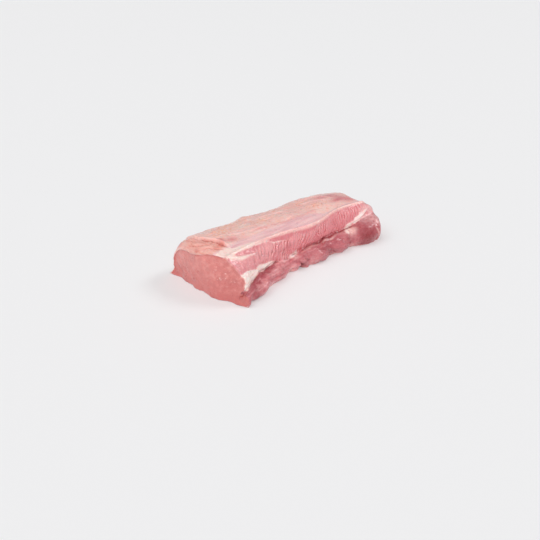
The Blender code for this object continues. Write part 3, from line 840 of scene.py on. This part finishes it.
LUMP_HIGHLIGHT_REACH = 0.0055
CREVICE_HALF = 0.0011
BRANCH_HALF = 0.0007
CREVICE_SHADE_TAPER = 1.4
OUTSIDE = -0.01
MILLIMETRES = 1000.0
end_of = np.array(end_of)
column_of = np.array(column_of)


def carried(values, fill=0.0):
    """Values of the side surface over all points: an end's points take those of their own column."""
    whole = np.full((rows, columns), float(fill))
    whole[:, :len(places)] = values
    border = np.where(end_of > 0, rows - 1, 0)
    own = np.minimum(np.arange(len(points)), rows * columns - 1)
    return np.where(end_of == 0, whole.reshape(-1)[own], whole[border, column_of])


def from_anchor(anchor):
    """The length round each section from an anchor, in metres, negative towards the chain's foot."""
    steps = np.linalg.norm(np.diff(plain_sides[:, :, 1:], axis=1), axis=2)
    length = np.concatenate((np.zeros((rows, 1)), np.cumsum(steps, axis=1)), axis=1)
    return length - length[:, [np.argmin(np.abs(places - anchor))]]


def only(where_so, values):
    """Values where something is so, and well outside any border elsewhere."""
    return np.where(where_so, values, -1)


x, y, z = np.moveaxis(plain_sides, 2, 0)
from_groove = from_anchor(GROOVE)
wandering = groove_line(x) - along_loin(x, GROOVE_Z)
from_groove -= GROOVE_SHIFT * wandering * bump(from_groove, 0, GROOVE_SHIFT_REACH)
from_ridge = from_anchor(RIDGE)
chain_side = y < CHAIN_SIDE_Y
top_side = from_ridge > TOP_FROM_RIDGE

band_x, band_y, band_half = np.transpose(WHITE_BAND)
band = np.interp(x, band_x, band_half) - np.abs(y - np.interp(x, band_x, band_y))
lower_strand, along_lower = off_path(x, z, STRAND_PATH)
upper_strand, along_upper = off_path(x, z, UPPER_STRAND)
fat = np.maximum.reduce([
    only((x < BAND_END_X) & (z > BAND_FROM_Z), band),
    only(z > BAND_FROM_Z, within(x, y, CORNER_PATCH)),
    only(chain_side, LOWER_STRAND_HALF * (STRAND_TAPER - along_lower) - lower_strand),
    only(chain_side, UPPER_STRAND_HALF * (STRAND_TAPER - along_upper) - upper_strand),
    only(chain_side, np.minimum(within(x, z, NEAR_PAD) + PAD_OVERLAP, from_groove - CRACK_PLACE)),
    *(only(chain_side, within(x, z, outline)) for outline in FAT_PATCHES),
    only(chain_side, far_streak(x, z)),
])
seam = read_off(x, SEAM_WIDTH) - np.abs(y - along_loin(x, RIDGE_Y) - SEAM_OFFSET)
seam = np.where((x > SEAM_SPAN[0]) & (x < SEAM_SPAN[1]) & (z > TOP_FROM_Z), seam, OUTSIDE)
membrane = np.where(top_side, y - read_off(x, SILVER_EDGE), OUTSIDE)
behind, along_crease = behind_crease(x, y)
front = np.where(top_side, -behind, OUTSIDE)
counts, second, strength, plain_lean = bundles(x, y, z)
warm = sum(patch(x, y, place) for place in WARM_PATCHES)
top_lean = sum(patch(x, y, place) for place in TOP_LEAN) + TOP_BLUSH_SHARE * patch(x, y, TOP_BLUSH)
red_and_shade = sum(share * bump(np.linalg.norm(plain_sides - place, axis=2), 0, reach)
          for place, reach, share in RED_AND_SHADE_PLACES)
# Painted shade in the folds of the fat cap: orange-red where the membrane tucks in at the crease, at the
# crease's two ends and along the wrinkles in front of it, with a darker line along the crease's foot and
# along each wrinkle. The same orange-red also marks real flecks on the warm patches of fat.
wrinkles = [off_path(x, y, path) for path in FRONT_WRINKLES]
wrinkle = np.max([bump(off, 0, WRINKLE_REACH) for off, _ in wrinkles], axis=0)
wrinkle_shade_line = np.max([WRINKLE_LINE_HALF * np.sin(np.pi * along) - off for off, along in wrinkles], axis=0)
# Painted shade: a dark red line down the groove's cleft, wherever the groove lies open.
open_groove = np.clip(0.60 + 0.9 * drift(plain_sides, 0.007, 30), 0.05, 1) * ease(-x, -0.106, -0.088)
groove_shade_line = CRACK_HALF * open_groove - np.abs(from_groove - CRACK_PLACE) - CRACK_NARROWING
crease = bump(behind, *CREASE_SHADE) * (0.15 + 0.85 * ease(along_crease, 0.30, 0.62))
for end_x, end_y, reach, longer, share in CREASE_END_SHADES:
    crease = np.maximum(crease, share * bump(np.hypot((x - end_x) / longer, y - end_y), 0, reach))
crease = np.maximum(crease, 0.40 * wrinkle) * top_side * ease(-along_crease, -0.98, -0.85)
crease_half = CREASE_LINE_HALF * ease(along_crease, 0.05, 0.60) * ease(-along_crease, -1.0, -0.85)
crease_shade_line = np.maximum(crease_half - np.abs(behind - CREASE_LINE_PLACE), wrinkle_shade_line)
crease_shade_line = np.where(top_side & (z > TOP_FROM_Z), crease_shade_line, OUTSIDE)
# Painted shade: darker red in the notch, along the open groove, in the opened gaps near the cut and in the
# chain's creases.
hollow_shade = np.maximum.reduce([
    1.2 * bump(x, NOTCH_X, NOTCH_REACH) * chain_side * ease(-z, -0.010, -0.005),
    bump(from_groove, CRACK_PLACE, CRACK_REACH) * open_groove,
    0.45 * slash_marks(x, z) * chain_side,
    0.45 * chain_creases(x, z)[0] * (from_groove < 0),
])
# Painted highlight: a pale line along the chain's rolled upper lip, just under the groove.
lip = bump(from_groove, -0.0028, 0.0015) * ease(x, -0.014, 0.004) * ease(-x, -0.074, -0.066)
end_fold, along_fold = off_path(x, z, GRISTLE_FOLD)
# Pale pink, partly tissue and partly painted highlight: the gristle fold across the far end and the fat
# along the chain's foot are pale tissue, while the chain's upper lip and the crown of the far lump are
# painted highlights.
pale = np.maximum.reduce([
    lip * np.clip(0.75 + 0.8 * drift(plain_sides, 0.006, 38), 0, 1),
    bump(end_fold, 0, GRISTLE_FOLD_REACH) * np.sin(np.pi * np.clip(along_fold, 0.08, 0.92)) * chain_side,
    0.9 * np.exp(-z / FOOT_EDGE_HEIGHT) * (y < 0),
    1.2 * bump(np.linalg.norm((plain_sides - LUMP_HIGHLIGHT_PLACE) / (1.5, 1, 1), axis=2), 0, LUMP_HIGHLIGHT_REACH),
])
veil = 0.7 * ease(within(x, z, VEILED_END), -0.0030, 0.0040) * chain_side * (1 + 0.5 * ease(z, 0.026, 0.034))

face_y, face_z = points[:, 1], points[:, 2]
on_cut = end_of < 0
from_end = np.concatenate((np.repeat(distances, columns), np.zeros(len(points) - rows * columns)))
gristle = sum(patch(face_y, face_z, place) for place in FLECKED_PLACES)
# Painted shade: a dark red line down the torn crevice in the cut face and down its branch.
crevice, along_crevice = off_path(face_y, face_z, CREVICE)
branch, along_branch = off_path(face_y, face_z, CREVICE_BRANCH)
torn = np.maximum(CREVICE_HALF * np.cos(CREVICE_SHADE_TAPER * along_crevice) - crevice,
                  BRANCH_HALF * np.cos(CREVICE_SHADE_TAPER * along_branch) - branch)
# Painted shade along the fold at the cut face's lower fat corner.
face_fold, along_face_fold = off_path(face_y, face_z, FACE_FOLD)
face_fold = bump(face_fold, 0, 0.0020) * np.sin(np.pi * np.clip(along_face_fold, 0.05, 0.95))
inside_borders = {
    "into cut face": np.where(on_cut, within(face_y, face_z, grid[0][:, 1:]), -from_end),
    "into far face": np.where(end_of > 0, within(face_y, face_z, grid[-1][:, 1:]), from_end - LENGTH),
    "from groove": carried(from_groove, -0.03),
    "from ridge": carried(from_ridge, -0.05),
    "membrane": carried(membrane, OUTSIDE),
    "front": carried(front, OUTSIDE),
    "fat": carried(fat, OUTSIDE),
    "seam": carried(seam, OUTSIDE),
    "crease shade line": carried(crease_shade_line, OUTSIDE),
    "groove shade line": carried(groove_shade_line, OUTSIDE),
    "torn": np.where(on_cut, torn, OUTSIDE),
}
shares = {
    "rear": ease(y, 0.020, 0.036),
    "under lip": ease(places, RIDGE + 0.5, RIDGE + 1.0),
    "bundle count": counts[0],
    "second bundle count": counts[1],
    "second share": second,
    "bundles": strength,
    "sheath strength": strength * read_off(x, SHEATH_STRENGTH),
    "near": ease(-x, 0.015, 0.050),
    "plain lean": plain_lean * chain_side,
    "warm": warm * top_side,
    "lean through": top_lean * top_side,
    "red_and_shade": red_and_shade,
    "hollow_shade": hollow_shade,
    "crease": crease,
    "chain tone and lump lighting": read_off(x, CHAIN_TONE_AND_LUMP_LIGHTING) * (1 - fat_cover(x, z)),
    "cap folds": cap_folds(x, y) * top_side,
    "pale": pale,
    "veil": veil,
    "lean depth": read_off(x, LEAN_DEPTH),
    "pink streak": bump(off_path(x, y, PINK_STREAK)[0], 0, 0.0017) * top_side,
}
for name, values in (
    *((name, values * MILLIMETRES) for name, values in inside_borders.items()),
    *((name, carried(values)) for name, values in shares.items()),
    ("flecked", gristle * on_cut),
    ("face fold", face_fold * on_cut),
):
    layer = mesh.attributes.new(name, "FLOAT", "POINT")
    layer.data.foreach_set("value", np.asarray(values, np.float32))


# The shader effects that the loin's tissues share. A border turns a measure in millimetres into a
# mask with a ragged, soft edge, and mottling is cloudy variation at one size.
FLECK_BEND = (0.0042, 0.0042, 0.0042)
FLECK_REACH = 0.36


def add(tree, kind, inputs=(), **settings):
    """Adds a node, sets it up, and fills its inputs with values or with other nodes' outputs."""
    node = tree.nodes.new("ShaderNode" + kind)
    for name, value in settings.items():
        setattr(node, name, value)
    for name, value in dict(inputs).items():
        if isinstance(value, bpy.types.NodeSocket):
            tree.links.new(value, node.inputs[name])
        else:
            node.inputs[name].default_value = value
    return node


def math_node(tree, operation, first, second=0.0):
    """The result of one sum on two values."""
    return add(tree, "Math", {0: first, 1: second}, operation=operation).outputs[0]


def layered(tree, share, below, above):
    """One colour laid over another by a share from 0 to 1."""
    return add(tree, "Mix", {0: share, 6: below, 7: above}, data_type="RGBA", clamp_factor=True).outputs[2]


def new_group(name, inputs, outputs):
    """A shader group with named inputs and outputs, and its two end nodes."""
    group = bpy.data.node_groups.new(name, "ShaderNodeTree")
    for label, kind, value in inputs:
        socket = group.interface.new_socket(label, in_out="INPUT", socket_type="NodeSocket" + kind)
        if value is not None:
            socket.default_value = value
    for label in outputs:
        group.interface.new_socket(label, in_out="OUTPUT", socket_type="NodeSocketFloat")
    return group, group.nodes.new("NodeGroupInput").outputs, group.nodes.new("NodeGroupOutput").inputs


def stretched_noise(group, given, **settings):
    """Noise of the size and stretch that a group is given, about 0."""
    scale = math_node(group, "DIVIDE", 1.0, given["Size"])
    place = given["Place"]
    if "Stretch" in given:
        place = add(group, "VectorMath", {0: place, 1: given["Stretch"]}, operation="MULTIPLY").outputs[0]
    noise = add(group, "TexNoise", {"Vector": place, "Scale": scale, **settings})
    return math_node(group, "SUBTRACT", noise.outputs["Fac"], 0.5)


def soft_step(group, value, start, end):
    """Rises smoothly from 0 to 1 as a value goes from start to end."""
    return add(group, "MapRange", {"Value": value, "From Min": start, "From Max": end},
               interpolation_type="SMOOTHSTEP").outputs["Result"]


def border_group():
    """Turns millimetres inside a border into a mask whose edge wanders and is soft."""
    group, given, result = new_group(
        "tissue border",
        (("Millimetres", "Float", 0.0), ("Ragged", "Float", 0.6), ("Softness", "Float", 0.5),
         ("Size", "Float", 0.004), ("Stretch", "Vector", (1.0, 1.0, 1.0)), ("Place", "Vector", None)),
        ("Mask",))
    sway = math_node(group, "MULTIPLY", stretched_noise(group, given, Detail=3.0), 3.0)
    wandering = math_node(group, "MULTIPLY", sway, given["Ragged"])
    inside = math_node(group, "ADD", given["Millimetres"], wandering)
    outside = math_node(group, "MULTIPLY", given["Softness"], -1.0)
    group.links.new(soft_step(group, inside, outside, given["Softness"]), result["Mask"])
    return group


def mottling_group():
    """Cloudy variation from 0 to 1, stretched along one direction if asked."""
    group, given, result = new_group(
        "mottling",
        (("Place", "Vector", None), ("Size", "Float", 0.006), ("Stretch", "Vector", (1.0, 1.0, 1.0)),
         ("Contrast", "Float", 1.0)),
        ("Value",))
    noise = stretched_noise(group, given, Detail=4.0, Roughness=0.55)
    spread = math_node(group, "MULTIPLY", noise, math_node(group, "MULTIPLY", given["Contrast"], 2.2))
    value = add(group, "Math", {0: spread, 1: 0.5}, operation="ADD", use_clamp=True)
    group.links.new(value.outputs[0], result["Value"])
    return group


def fleck_group():
    """Scattered small flecks of uneven size and shape, from 0 to 1."""
    group, given, result = new_group(
        "flecks", (("Place", "Vector", None), ("Size", "Float", 0.004), ("Share", "Float", 0.5)), ("Mask",))
    scale = math_node(group, "DIVIDE", 1.0, given["Size"])
    bend = add(group, "TexNoise", {"Vector": given["Place"], "Scale": 600.0, "Detail": 3.0})
    bent = add(group, "VectorMath", {0: bend.outputs["Color"], 1: FLECK_BEND, 2: given["Place"]},
               operation="MULTIPLY_ADD")
    cells = add(group, "TexVoronoi", {"Vector": bent.outputs[0], "Scale": scale})
    pick = add(group, "SeparateColor", {0: cells.outputs["Color"]}).outputs[0]
    reach = math_node(group, "MULTIPLY", math_node(group, "LESS_THAN", pick, given["Share"]), FLECK_REACH)
    middle = math_node(group, "MULTIPLY", reach, 0.5)
    group.links.new(soft_step(group, cells.outputs["Distance"], reach, middle), result["Mask"])
    return group


def bundle_group():
    """The sheath, the gap and the tone of each fibre bundle, each from 0 to 1, from a count of bundles."""
    group, given, result = new_group(
        "fibre bundles",
        (("Count", "Float", 0.0), ("Waver", "Float", 0.6), ("Size", "Float", 0.003),
         ("Place", "Vector", None)),
        ("Sheath", "Gap", "Tone"))
    sway = math_node(group, "MULTIPLY", stretched_noise(group, given, Detail=2.0), given["Waver"])
    count = math_node(group, "ADD", given["Count"], sway)
    turn = math_node(group, "FRACT", count)
    for label, middle, reach in (("Sheath", 0.46, 0.30), ("Gap", 0.80, 0.21)):
        off = math_node(group, "ABSOLUTE", math_node(group, "SUBTRACT", turn, middle))
        group.links.new(soft_step(group, off, reach, 0.0), result[label])
    tone = add(group, "TexWhiteNoise", {"W": math_node(group, "FLOOR", count)}, noise_dimensions="1D")
    group.links.new(tone.outputs["Value"], result["Tone"])
    return group


def tint(red_part, green_part, blue_part):
    """A colour given from 0 to 255 as it looks on a screen, for a shader's socket."""
    parts = np.array((red_part, green_part, blue_part)) / 255
    linear = np.where(parts <= 0.04045, parts / 12.92, ((parts + 0.055) / 1.055) ** 2.4)
    return (*linear.tolist(), 1.0)


# The raw pork itself: pink lean in pale sheaths, darker in the chain, under a cream skin of fat on the top
# and a mauve silver skin beside the ridge, with white fat along the seams. It is moist and glossy. Shade is
# painted into its hollows, creases and groove, and highlights onto the chain's lip and its far lump.
LEAN = tint(240, 154, 159)
LEAN_DEEP = tint(214, 106, 116)
LEAN_SHEATH = tint(252, 200, 198)
LEAN_GAP_AND_SHADE = tint(196, 82, 88)
CHAIN_LEAN = tint(224, 134, 140)
CHAIN_DEEP = tint(166, 62, 74)
CHAIN_PALE = tint(246, 184, 182)
CUT_LEAN = tint(231, 140, 134)
CUT_DEEP = tint(200, 104, 101)
CUT_PALE = tint(243, 168, 158)
CUT_SHADE = tint(196, 84, 80)
CREAM = tint(252, 214, 205)
CREAM_PINK = tint(248, 187, 181)
CREAM_WARM = tint(252, 184, 158)
FRONT_SKIN = tint(241, 175, 159)
FRONT_PINK = tint(229, 141, 130)
SILVER = tint(232, 176, 181)
SILVER_PALE = tint(246, 204, 202)
WHITE_FAT = tint(255, 238, 231)
WHITE_FAT_PINK = tint(255, 210, 202)
WHITE_FAT_WARM = tint(252, 214, 202)
SEAM_PINK = tint(238, 180, 176)
DEEP_RED = tint(144, 40, 46)
CREASE_SHADE_AND_FLECK_RED = tint(226, 100, 80)
SHADE_LINE_DARK = tint(176, 58, 44)
MOISTURE = 0.55
WETTEST = 0.24
DRIEST = 0.42
FIBRE_RELIEF = 0.0006
FIBRE_STRENGTH = 0.7
LEAN_FINISH = {
    "Subsurface Weight": 0.25,
    "Subsurface Radius": (1.0, 0.35, 0.25),
    "Subsurface Scale": 0.0015,
    "Coat Weight": MOISTURE,
    "Coat Roughness": 0.15,
}

material = bpy.data.materials.new("raw pork")
material.use_nodes = True
tree = material.node_tree
shader = tree.nodes["Principled BSDF"]
where = add(tree, "TexCoord").outputs["Object"]
border = border_group()
mottling = mottling_group()
flecks = fleck_group()
bundle_lines = bundle_group()


def measure(name):
    """A measure kept on the mesh."""
    return add(tree, "Attribute", attribute_name=name).outputs["Fac"]


def times(*shares):
    """Shares taken of one another."""
    product = shares[0]
    for share in shares[1:]:
        product = math_node(tree, "MULTIPLY", product, share)
    return product


def plus(first, second):
    """Two shares added."""
    return math_node(tree, "ADD", first, second)


def left_by(share):
    """What a share leaves of the whole."""
    return math_node(tree, "SUBTRACT", 1.0, share)


def uneven(least, more, pattern):
    """A share that goes from the least to that much more with a pattern."""
    return plus(least, times(pattern, more))


def between(value, start, end):
    """Rises from 0 to 1 as a value goes from start to end."""
    return add(tree, "MapRange", {"Value": value, "From Min": start, "From Max": end}).outputs["Result"]


def coated(colour, *coats):
    """A colour with others laid over it in turn, each given by its share and its colour."""
    for share, coat in coats:
        colour = layered(tree, share, colour, coat)
    return colour


def over_loin(group, values):
    """The outputs of a shader effect that is spread over the loin with its own values."""
    return add(tree, "Group", {"Place": where, **values}, node_tree=group).outputs


def masked(name, ragged=0.5, softness=0.4, size=0.004, offset=0.0, stretch=(1, 1, 1)):
    """The mask of one tissue from its measure."""
    return over_loin(border, {"Millimetres": plus(measure(name), offset), "Ragged": ragged,
                              "Softness": softness, "Size": size, "Stretch": stretch})["Mask"]


def mottled(size, stretch=(1, 1, 1), contrast=1.0):
    """Cloudy variation over the loin at one size."""
    return over_loin(mottling, {"Size": size, "Stretch": stretch, "Contrast": contrast})["Value"]


def flecked(size, share):
    """Scattered flecks over the loin at one size."""
    return over_loin(flecks, {"Size": size, "Share": share})["Mask"]


clouds = mottled(0.012)
patches = mottled(0.0055, contrast=1.2)
blotches = mottled(0.0028, contrast=1.2)
threads = mottled(0.0016, (0.16, 1, 1), 1.3)
long_threads = mottled(0.0022, (0.09, 1, 1), 1.3)
steep_threads = mottled(0.0013, (1.0, 0.6, 0.22), 1.3)
specks = mottled(0.0009, contrast=1.3)
rear = measure("rear")
near = measure("near")
place_of = add(tree, "SeparateXYZ", {0: where}).outputs
height_of = place_of["Z"]
slants = [over_loin(bundle_lines, {"Count": measure(name)})
          for name in ("bundle count", "second bundle count")]


def of_bundles(label):
    """One value of the fibre bundles, where the two slants pass into each other."""
    return add(tree, "Mix", {0: measure("second share"), 2: slants[0][label], 3: slants[1][label]},
               data_type="FLOAT").outputs[0]


sheaths = times(of_bundles("Sheath"), measure("sheath strength"))
gaps = times(of_bundles("Gap"), measure("bundles"))
tone = of_bundles("Tone")

above_groove_mm = measure("from groove")
near_lean = times(near, between(above_groove_mm, -1.0, 3.0))
lean = coated(
    LEAN_DEEP,
    (uneven(0.15, 0.7, clouds), LEAN),
    (times(between(tone, 0.4, 1.0), measure("bundles"), 0.45), LEAN_SHEATH),
    (times(between(tone, 0.6, 0.0), measure("bundles"), 0.50), LEAN_DEEP),
    # Paler high on the slope and deeper red towards the groove: partly the lean's own colour, partly painted
    # shade towards the groove.
    (times(between(above_groove_mm, 9.0, 20.0), 0.25), LEAN_SHEATH),
    (times(between(above_groove_mm, 8.0, 0.0), 0.45), LEAN_DEEP),
    (times(measure("plain lean"), 0.72), LEAN_DEEP),
    (times(measure("lean depth"), 0.60), LEAN_DEEP),
    (times(steep_threads, 0.14), LEAN_SHEATH),
    (times(flecked(0.0022, 0.6), near_lean, 0.45), LEAN_SHEATH),
    (times(between(mottled(0.0020, (0.6, 1, 0.7), 1.5), 0.45, 0.95), near_lean, 0.35), LEAN_SHEATH),
    (times(sheaths, uneven(0.60, 0.40, blotches)), LEAN_SHEATH),
    # Darker red in the gaps between bundles, beside each sheath: partly the deeper muscle there, partly
    # painted shade.
    (times(gaps, 0.72), LEAN_GAP_AND_SHADE),
)
chain_tone_and_lump_lighting = measure("chain tone and lump lighting")
chain_colour = coated(
    CHAIN_DEEP,
    (plus(times(chain_tone_and_lump_lighting, 0.50), times(patches, 0.40)), CHAIN_LEAN),
    (times(between(clouds, 0.45, 0.95), chain_tone_and_lump_lighting), CHAIN_PALE),
    (times(between(threads, 0.45, 1.0), uneven(0.10, 0.35, chain_tone_and_lump_lighting)), CHAIN_PALE),
)
silver_colour = coated(
    SILVER,
    (long_threads, SILVER_PALE),
    (times(between(measure("from ridge"), 9.0, 1.5), near, long_threads, 0.45), WHITE_FAT_PINK),
)
windows = times(rear, between(mottled(0.015, (0.45, 1, 1), 1.6), 0.52, 0.85))
thick = times(rear, between(height_of, 0.020, 0.002))
cream_colour = coated(
    CREAM_PINK,
    (clouds, CREAM),
    (times(between(blotches, 0.45, 0.85), 0.50), CREAM_WARM),
    (times(between(long_threads, 0.3, 1.0), 0.30), SILVER_PALE),
    (times(measure("warm"), between(blotches, 0.25, 0.75), 0.8), CREAM_WARM),
    (times(between(measure("warm"), 0.10, 0.60), flecked(0.0028, 0.60), 0.60), CREASE_SHADE_AND_FLECK_RED),
    (times(measure("lean through"), 0.60), LEAN_DEEP),
    (times(windows, uneven(0.35, 0.45, threads)), LEAN_DEEP),
    (times(thick, uneven(0.2, 0.6, patches)), WHITE_FAT),
    (times(measure("cap folds"), 0.55), SILVER_PALE),
)
front_colour = coated(
    FRONT_PINK,
    (patches, FRONT_SKIN),
    (times(mottled(0.0018, (1, 0.18, 1), 1.4), 0.45), CREAM),
)
fat_colour = coated(
    WHITE_FAT_PINK,
    (uneven(0.50, 0.60, patches), WHITE_FAT),
    (times(between(long_threads, 0.35, 0.95), 0.40), WHITE_FAT_PINK),
    (times(between(height_of, 0.034, 0.043), 0.50), WHITE_FAT_WARM),
    (times(between(blotches, 0.50, 0.95), 0.35), CREAM_PINK),
    (between(measure("fat"), 0.7, -0.5), LEAN_SHEATH),
)
cut_colour = coated(
    CUT_DEEP,
    (uneven(0.10, 0.9, clouds), CUT_LEAN),
    (times(between(place_of["Y"], 0.002, -0.026), 0.90), CUT_DEEP),
    (times(between(patches, 0.40, 0.95), 0.5), CUT_PALE),
    (times(specks, 0.28), CUT_PALE),
    # Darker towards the bottom of the cut face: painted shade.
    (times(between(height_of, 0.028, 0.002), 0.65), CUT_DEEP),
)

above_groove = masked("from groove", 0.3, 0.3)
silver_mask = masked("from ridge", 0.3, 0.5)
membrane_mask = masked("membrane", 2.2, 1.8, 0.008, stretch=(0.5, 1, 1))
front_mask = times(masked("front", 2.2, 2.5, 0.010), left_by(times(rear, 0.75)), membrane_mask)
cut_mask = masked("into cut face", 0.5, 0.25, 0.0030, -0.3)
far_mask = masked("into far face", 0.8, 1.2, 0.003, -0.5)
into_cut = measure("into cut face")
under_lip = measure("under lip")
rim_shade = times(between(into_cut, 3.4, 0.4), cut_mask, under_lip)
rim = times(between(into_cut, 2.0, 0.4), cut_mask, left_by(under_lip), between(height_of, 0.014, 0.020))
fleck = times(flecked(0.0028, 0.50), between(measure("flecked"), 0.05, 0.45))
colour = coated(
    chain_colour,
    (above_groove, lean),
    (silver_mask, silver_colour),
    (membrane_mask, cream_colour),
    (times(measure("pink streak"), uneven(0.2, 0.5, patches)), LEAN),
    (front_mask, front_colour),
    (masked("fat", 1.0, 0.9, 0.0040, stretch=(0.40, 1, 1)), fat_colour),
    (masked("seam", 0.5, 0.9, 0.0080, stretch=(0.40, 1, 1)), coated(SEAM_PINK, (blotches, WHITE_FAT_PINK))),
    (times(measure("veil"), uneven(0.25, 0.6, patches)), SILVER_PALE),
    # Pale pink tissue, with painted highlights on the chain's upper lip and on the far lump's crown.
    (times(measure("pale"), uneven(0.3, 0.6, blotches)), WHITE_FAT_PINK),
    (times(measure("red_and_shade"), uneven(0.35, 0.5, blotches)), DEEP_RED),
    (times(measure("hollow_shade"), 0.75), DEEP_RED),
    (times(masked("groove shade line", 0.35, 0.35, 0.0025), 0.80), DEEP_RED),
    (times(measure("crease"), 0.62), CREASE_SHADE_AND_FLECK_RED),
    (times(masked("crease shade line", 0.40, 0.35, 0.0030), 0.80), SHADE_LINE_DARK),
    (math_node(tree, "MAXIMUM", cut_mask, far_mask), cut_colour),
    (times(rim_shade, between(patches, 0.15, 0.95)), CUT_SHADE),
    (times(rim, uneven(0.05, 0.75, patches)), WHITE_FAT_PINK),
    (times(fleck, 0.65), WHITE_FAT_PINK),
    (times(measure("face fold"), 0.25), CUT_SHADE),
    (times(masked("torn", 0.5, 0.4, 0.0020), 0.75), SHADE_LINE_DARK),
)

fibres = times(plus(times(threads, 0.5), times(specks, 0.30)), left_by(times(cut_mask, 0.65)))
on_slope = times(above_groove, left_by(silver_mask))
fibre_height = plus(fibres, times(fleck, 0.7))
fibre_height = plus(fibre_height, times(gaps, on_slope, -0.6))
fibre_height = plus(fibre_height, times(sheaths, on_slope, 0.3))
bump_node = add(
    tree, "Bump", {"Strength": FIBRE_STRENGTH, "Distance": FIBRE_RELIEF, "Height": fibre_height})
gloss = add(
    tree, "MapRange", {"Value": mottled(0.004, contrast=1.2), "To Min": WETTEST, "To Max": DRIEST})
tree.links.new(colour, shader.inputs["Base Color"])
tree.links.new(gloss.outputs["Result"], shader.inputs["Roughness"])
tree.links.new(bump_node.outputs["Normal"], shader.inputs["Normal"])
for socket, value in LEAN_FINISH.items():
    shader.inputs[socket].default_value = value
mesh.materials.append(material)
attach(loin, "root")
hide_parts("pork_loin")

# The floor: one plain pale sheet that the loin lies on, wide enough to fill the view. It is matt, and
# it lies a hair's breadth below the loin, so that the two surfaces never coincide.
FLOOR_HALF = 9.0
FLOOR_DROP = 0.0002
floor_mesh = bpy.data.meshes.new("pale floor")
floor_mesh.from_pydata(
    [(a * FLOOR_HALF, b * FLOOR_HALF, -FLOOR_DROP) for a, b in ((-1, -1), (1, -1), (1, 1), (-1, 1))],
    [], [(0, 1, 2, 3)])
floor = bpy.data.objects.new("floor", floor_mesh)
bpy.context.scene.collection.objects.link(floor)
floor_material = bpy.data.materials.new("pale floor")
floor_material.use_nodes = True
floor_shader = floor_material.node_tree.nodes["Principled BSDF"]
for socket, value in (("Base Color", tint(240, 240, 241)), ("Roughness", 0.9), ("Specular IOR Level", 0.2)):
    floor_shader.inputs[socket].default_value = value
floor_mesh.materials.append(floor_material)

# The studio light: a wide soft key high on the chain side, a weaker fill from behind the cut face, a
# back light past the far end and an even pale surround. The lamps are suns, so the floor is lit evenly.
LAMPS = (
    ("soft key", (-0.62, -0.72, 0.78), 0.36, 1.62),
    ("soft fill", (-0.45, 0.35, 1.00), 0.90, 0.74),
    ("soft back light", (0.65, -0.32, 0.72), 0.32, 0.60),
)
SURROUND = 0.32
BACKDROP = 0.80
WHITE = (1.0, 1.0, 1.0, 1.0)
for name, direction, spread, power in LAMPS:
    light = bpy.data.lights.new(name, "SUN")
    light.angle = spread
    light.energy = power
    lamp = bpy.data.objects.new(name, light)
    lamp.rotation_euler = Vector(direction).to_track_quat("Z", "Y").to_euler()
    bpy.context.scene.collection.objects.link(lamp)
world = bpy.data.worlds.new("pale surround")
world.use_nodes = True
world_tree = world.node_tree
backdrop = add(world_tree, "Background", {"Color": WHITE, "Strength": BACKDROP})
surround = world_tree.nodes["Background"]
surround.inputs["Color"].default_value = WHITE
surround.inputs["Strength"].default_value = SURROUND
seen = add(world_tree, "LightPath").outputs["Is Camera Ray"]
mixed = add(world_tree, "MixShader", {0: seen, 1: surround.outputs[0], 2: backdrop.outputs[0]})
world_tree.links.new(mixed.outputs[0], world_tree.nodes["World Output"].inputs["Surface"])
bpy.context.scene.world = world
bpy.context.scene.view_settings.view_transform = "Standard"

# The camera: it stands to the near right of the cut face, looks down along the loin and is rolled
# a little to one side. It is close by and its lens is short, so the cut face looks large.
CAMERA_PLACE = (-0.40004, -0.35532, 0.30624)
CAMERA_HEADING = math.radians(46.35)
CAMERA_PITCH = math.radians(31.70)
CAMERA_ROLL = math.radians(1.11)
CAMERA_LENS = 34.965
lens = bpy.data.cameras.new("camera")
lens.lens = CAMERA_LENS
camera = bpy.data.objects.new("camera", lens)
turned = (Matrix.Rotation(-CAMERA_HEADING, 4, "Z") @ Matrix.Rotation(math.pi / 2 - CAMERA_PITCH, 4, "X")
          @ Matrix.Rotation(CAMERA_ROLL, 4, "Z"))
camera.matrix_world = Matrix.Translation(CAMERA_PLACE) @ turned
bpy.context.scene.collection.objects.link(camera)
bpy.context.scene.camera = camera
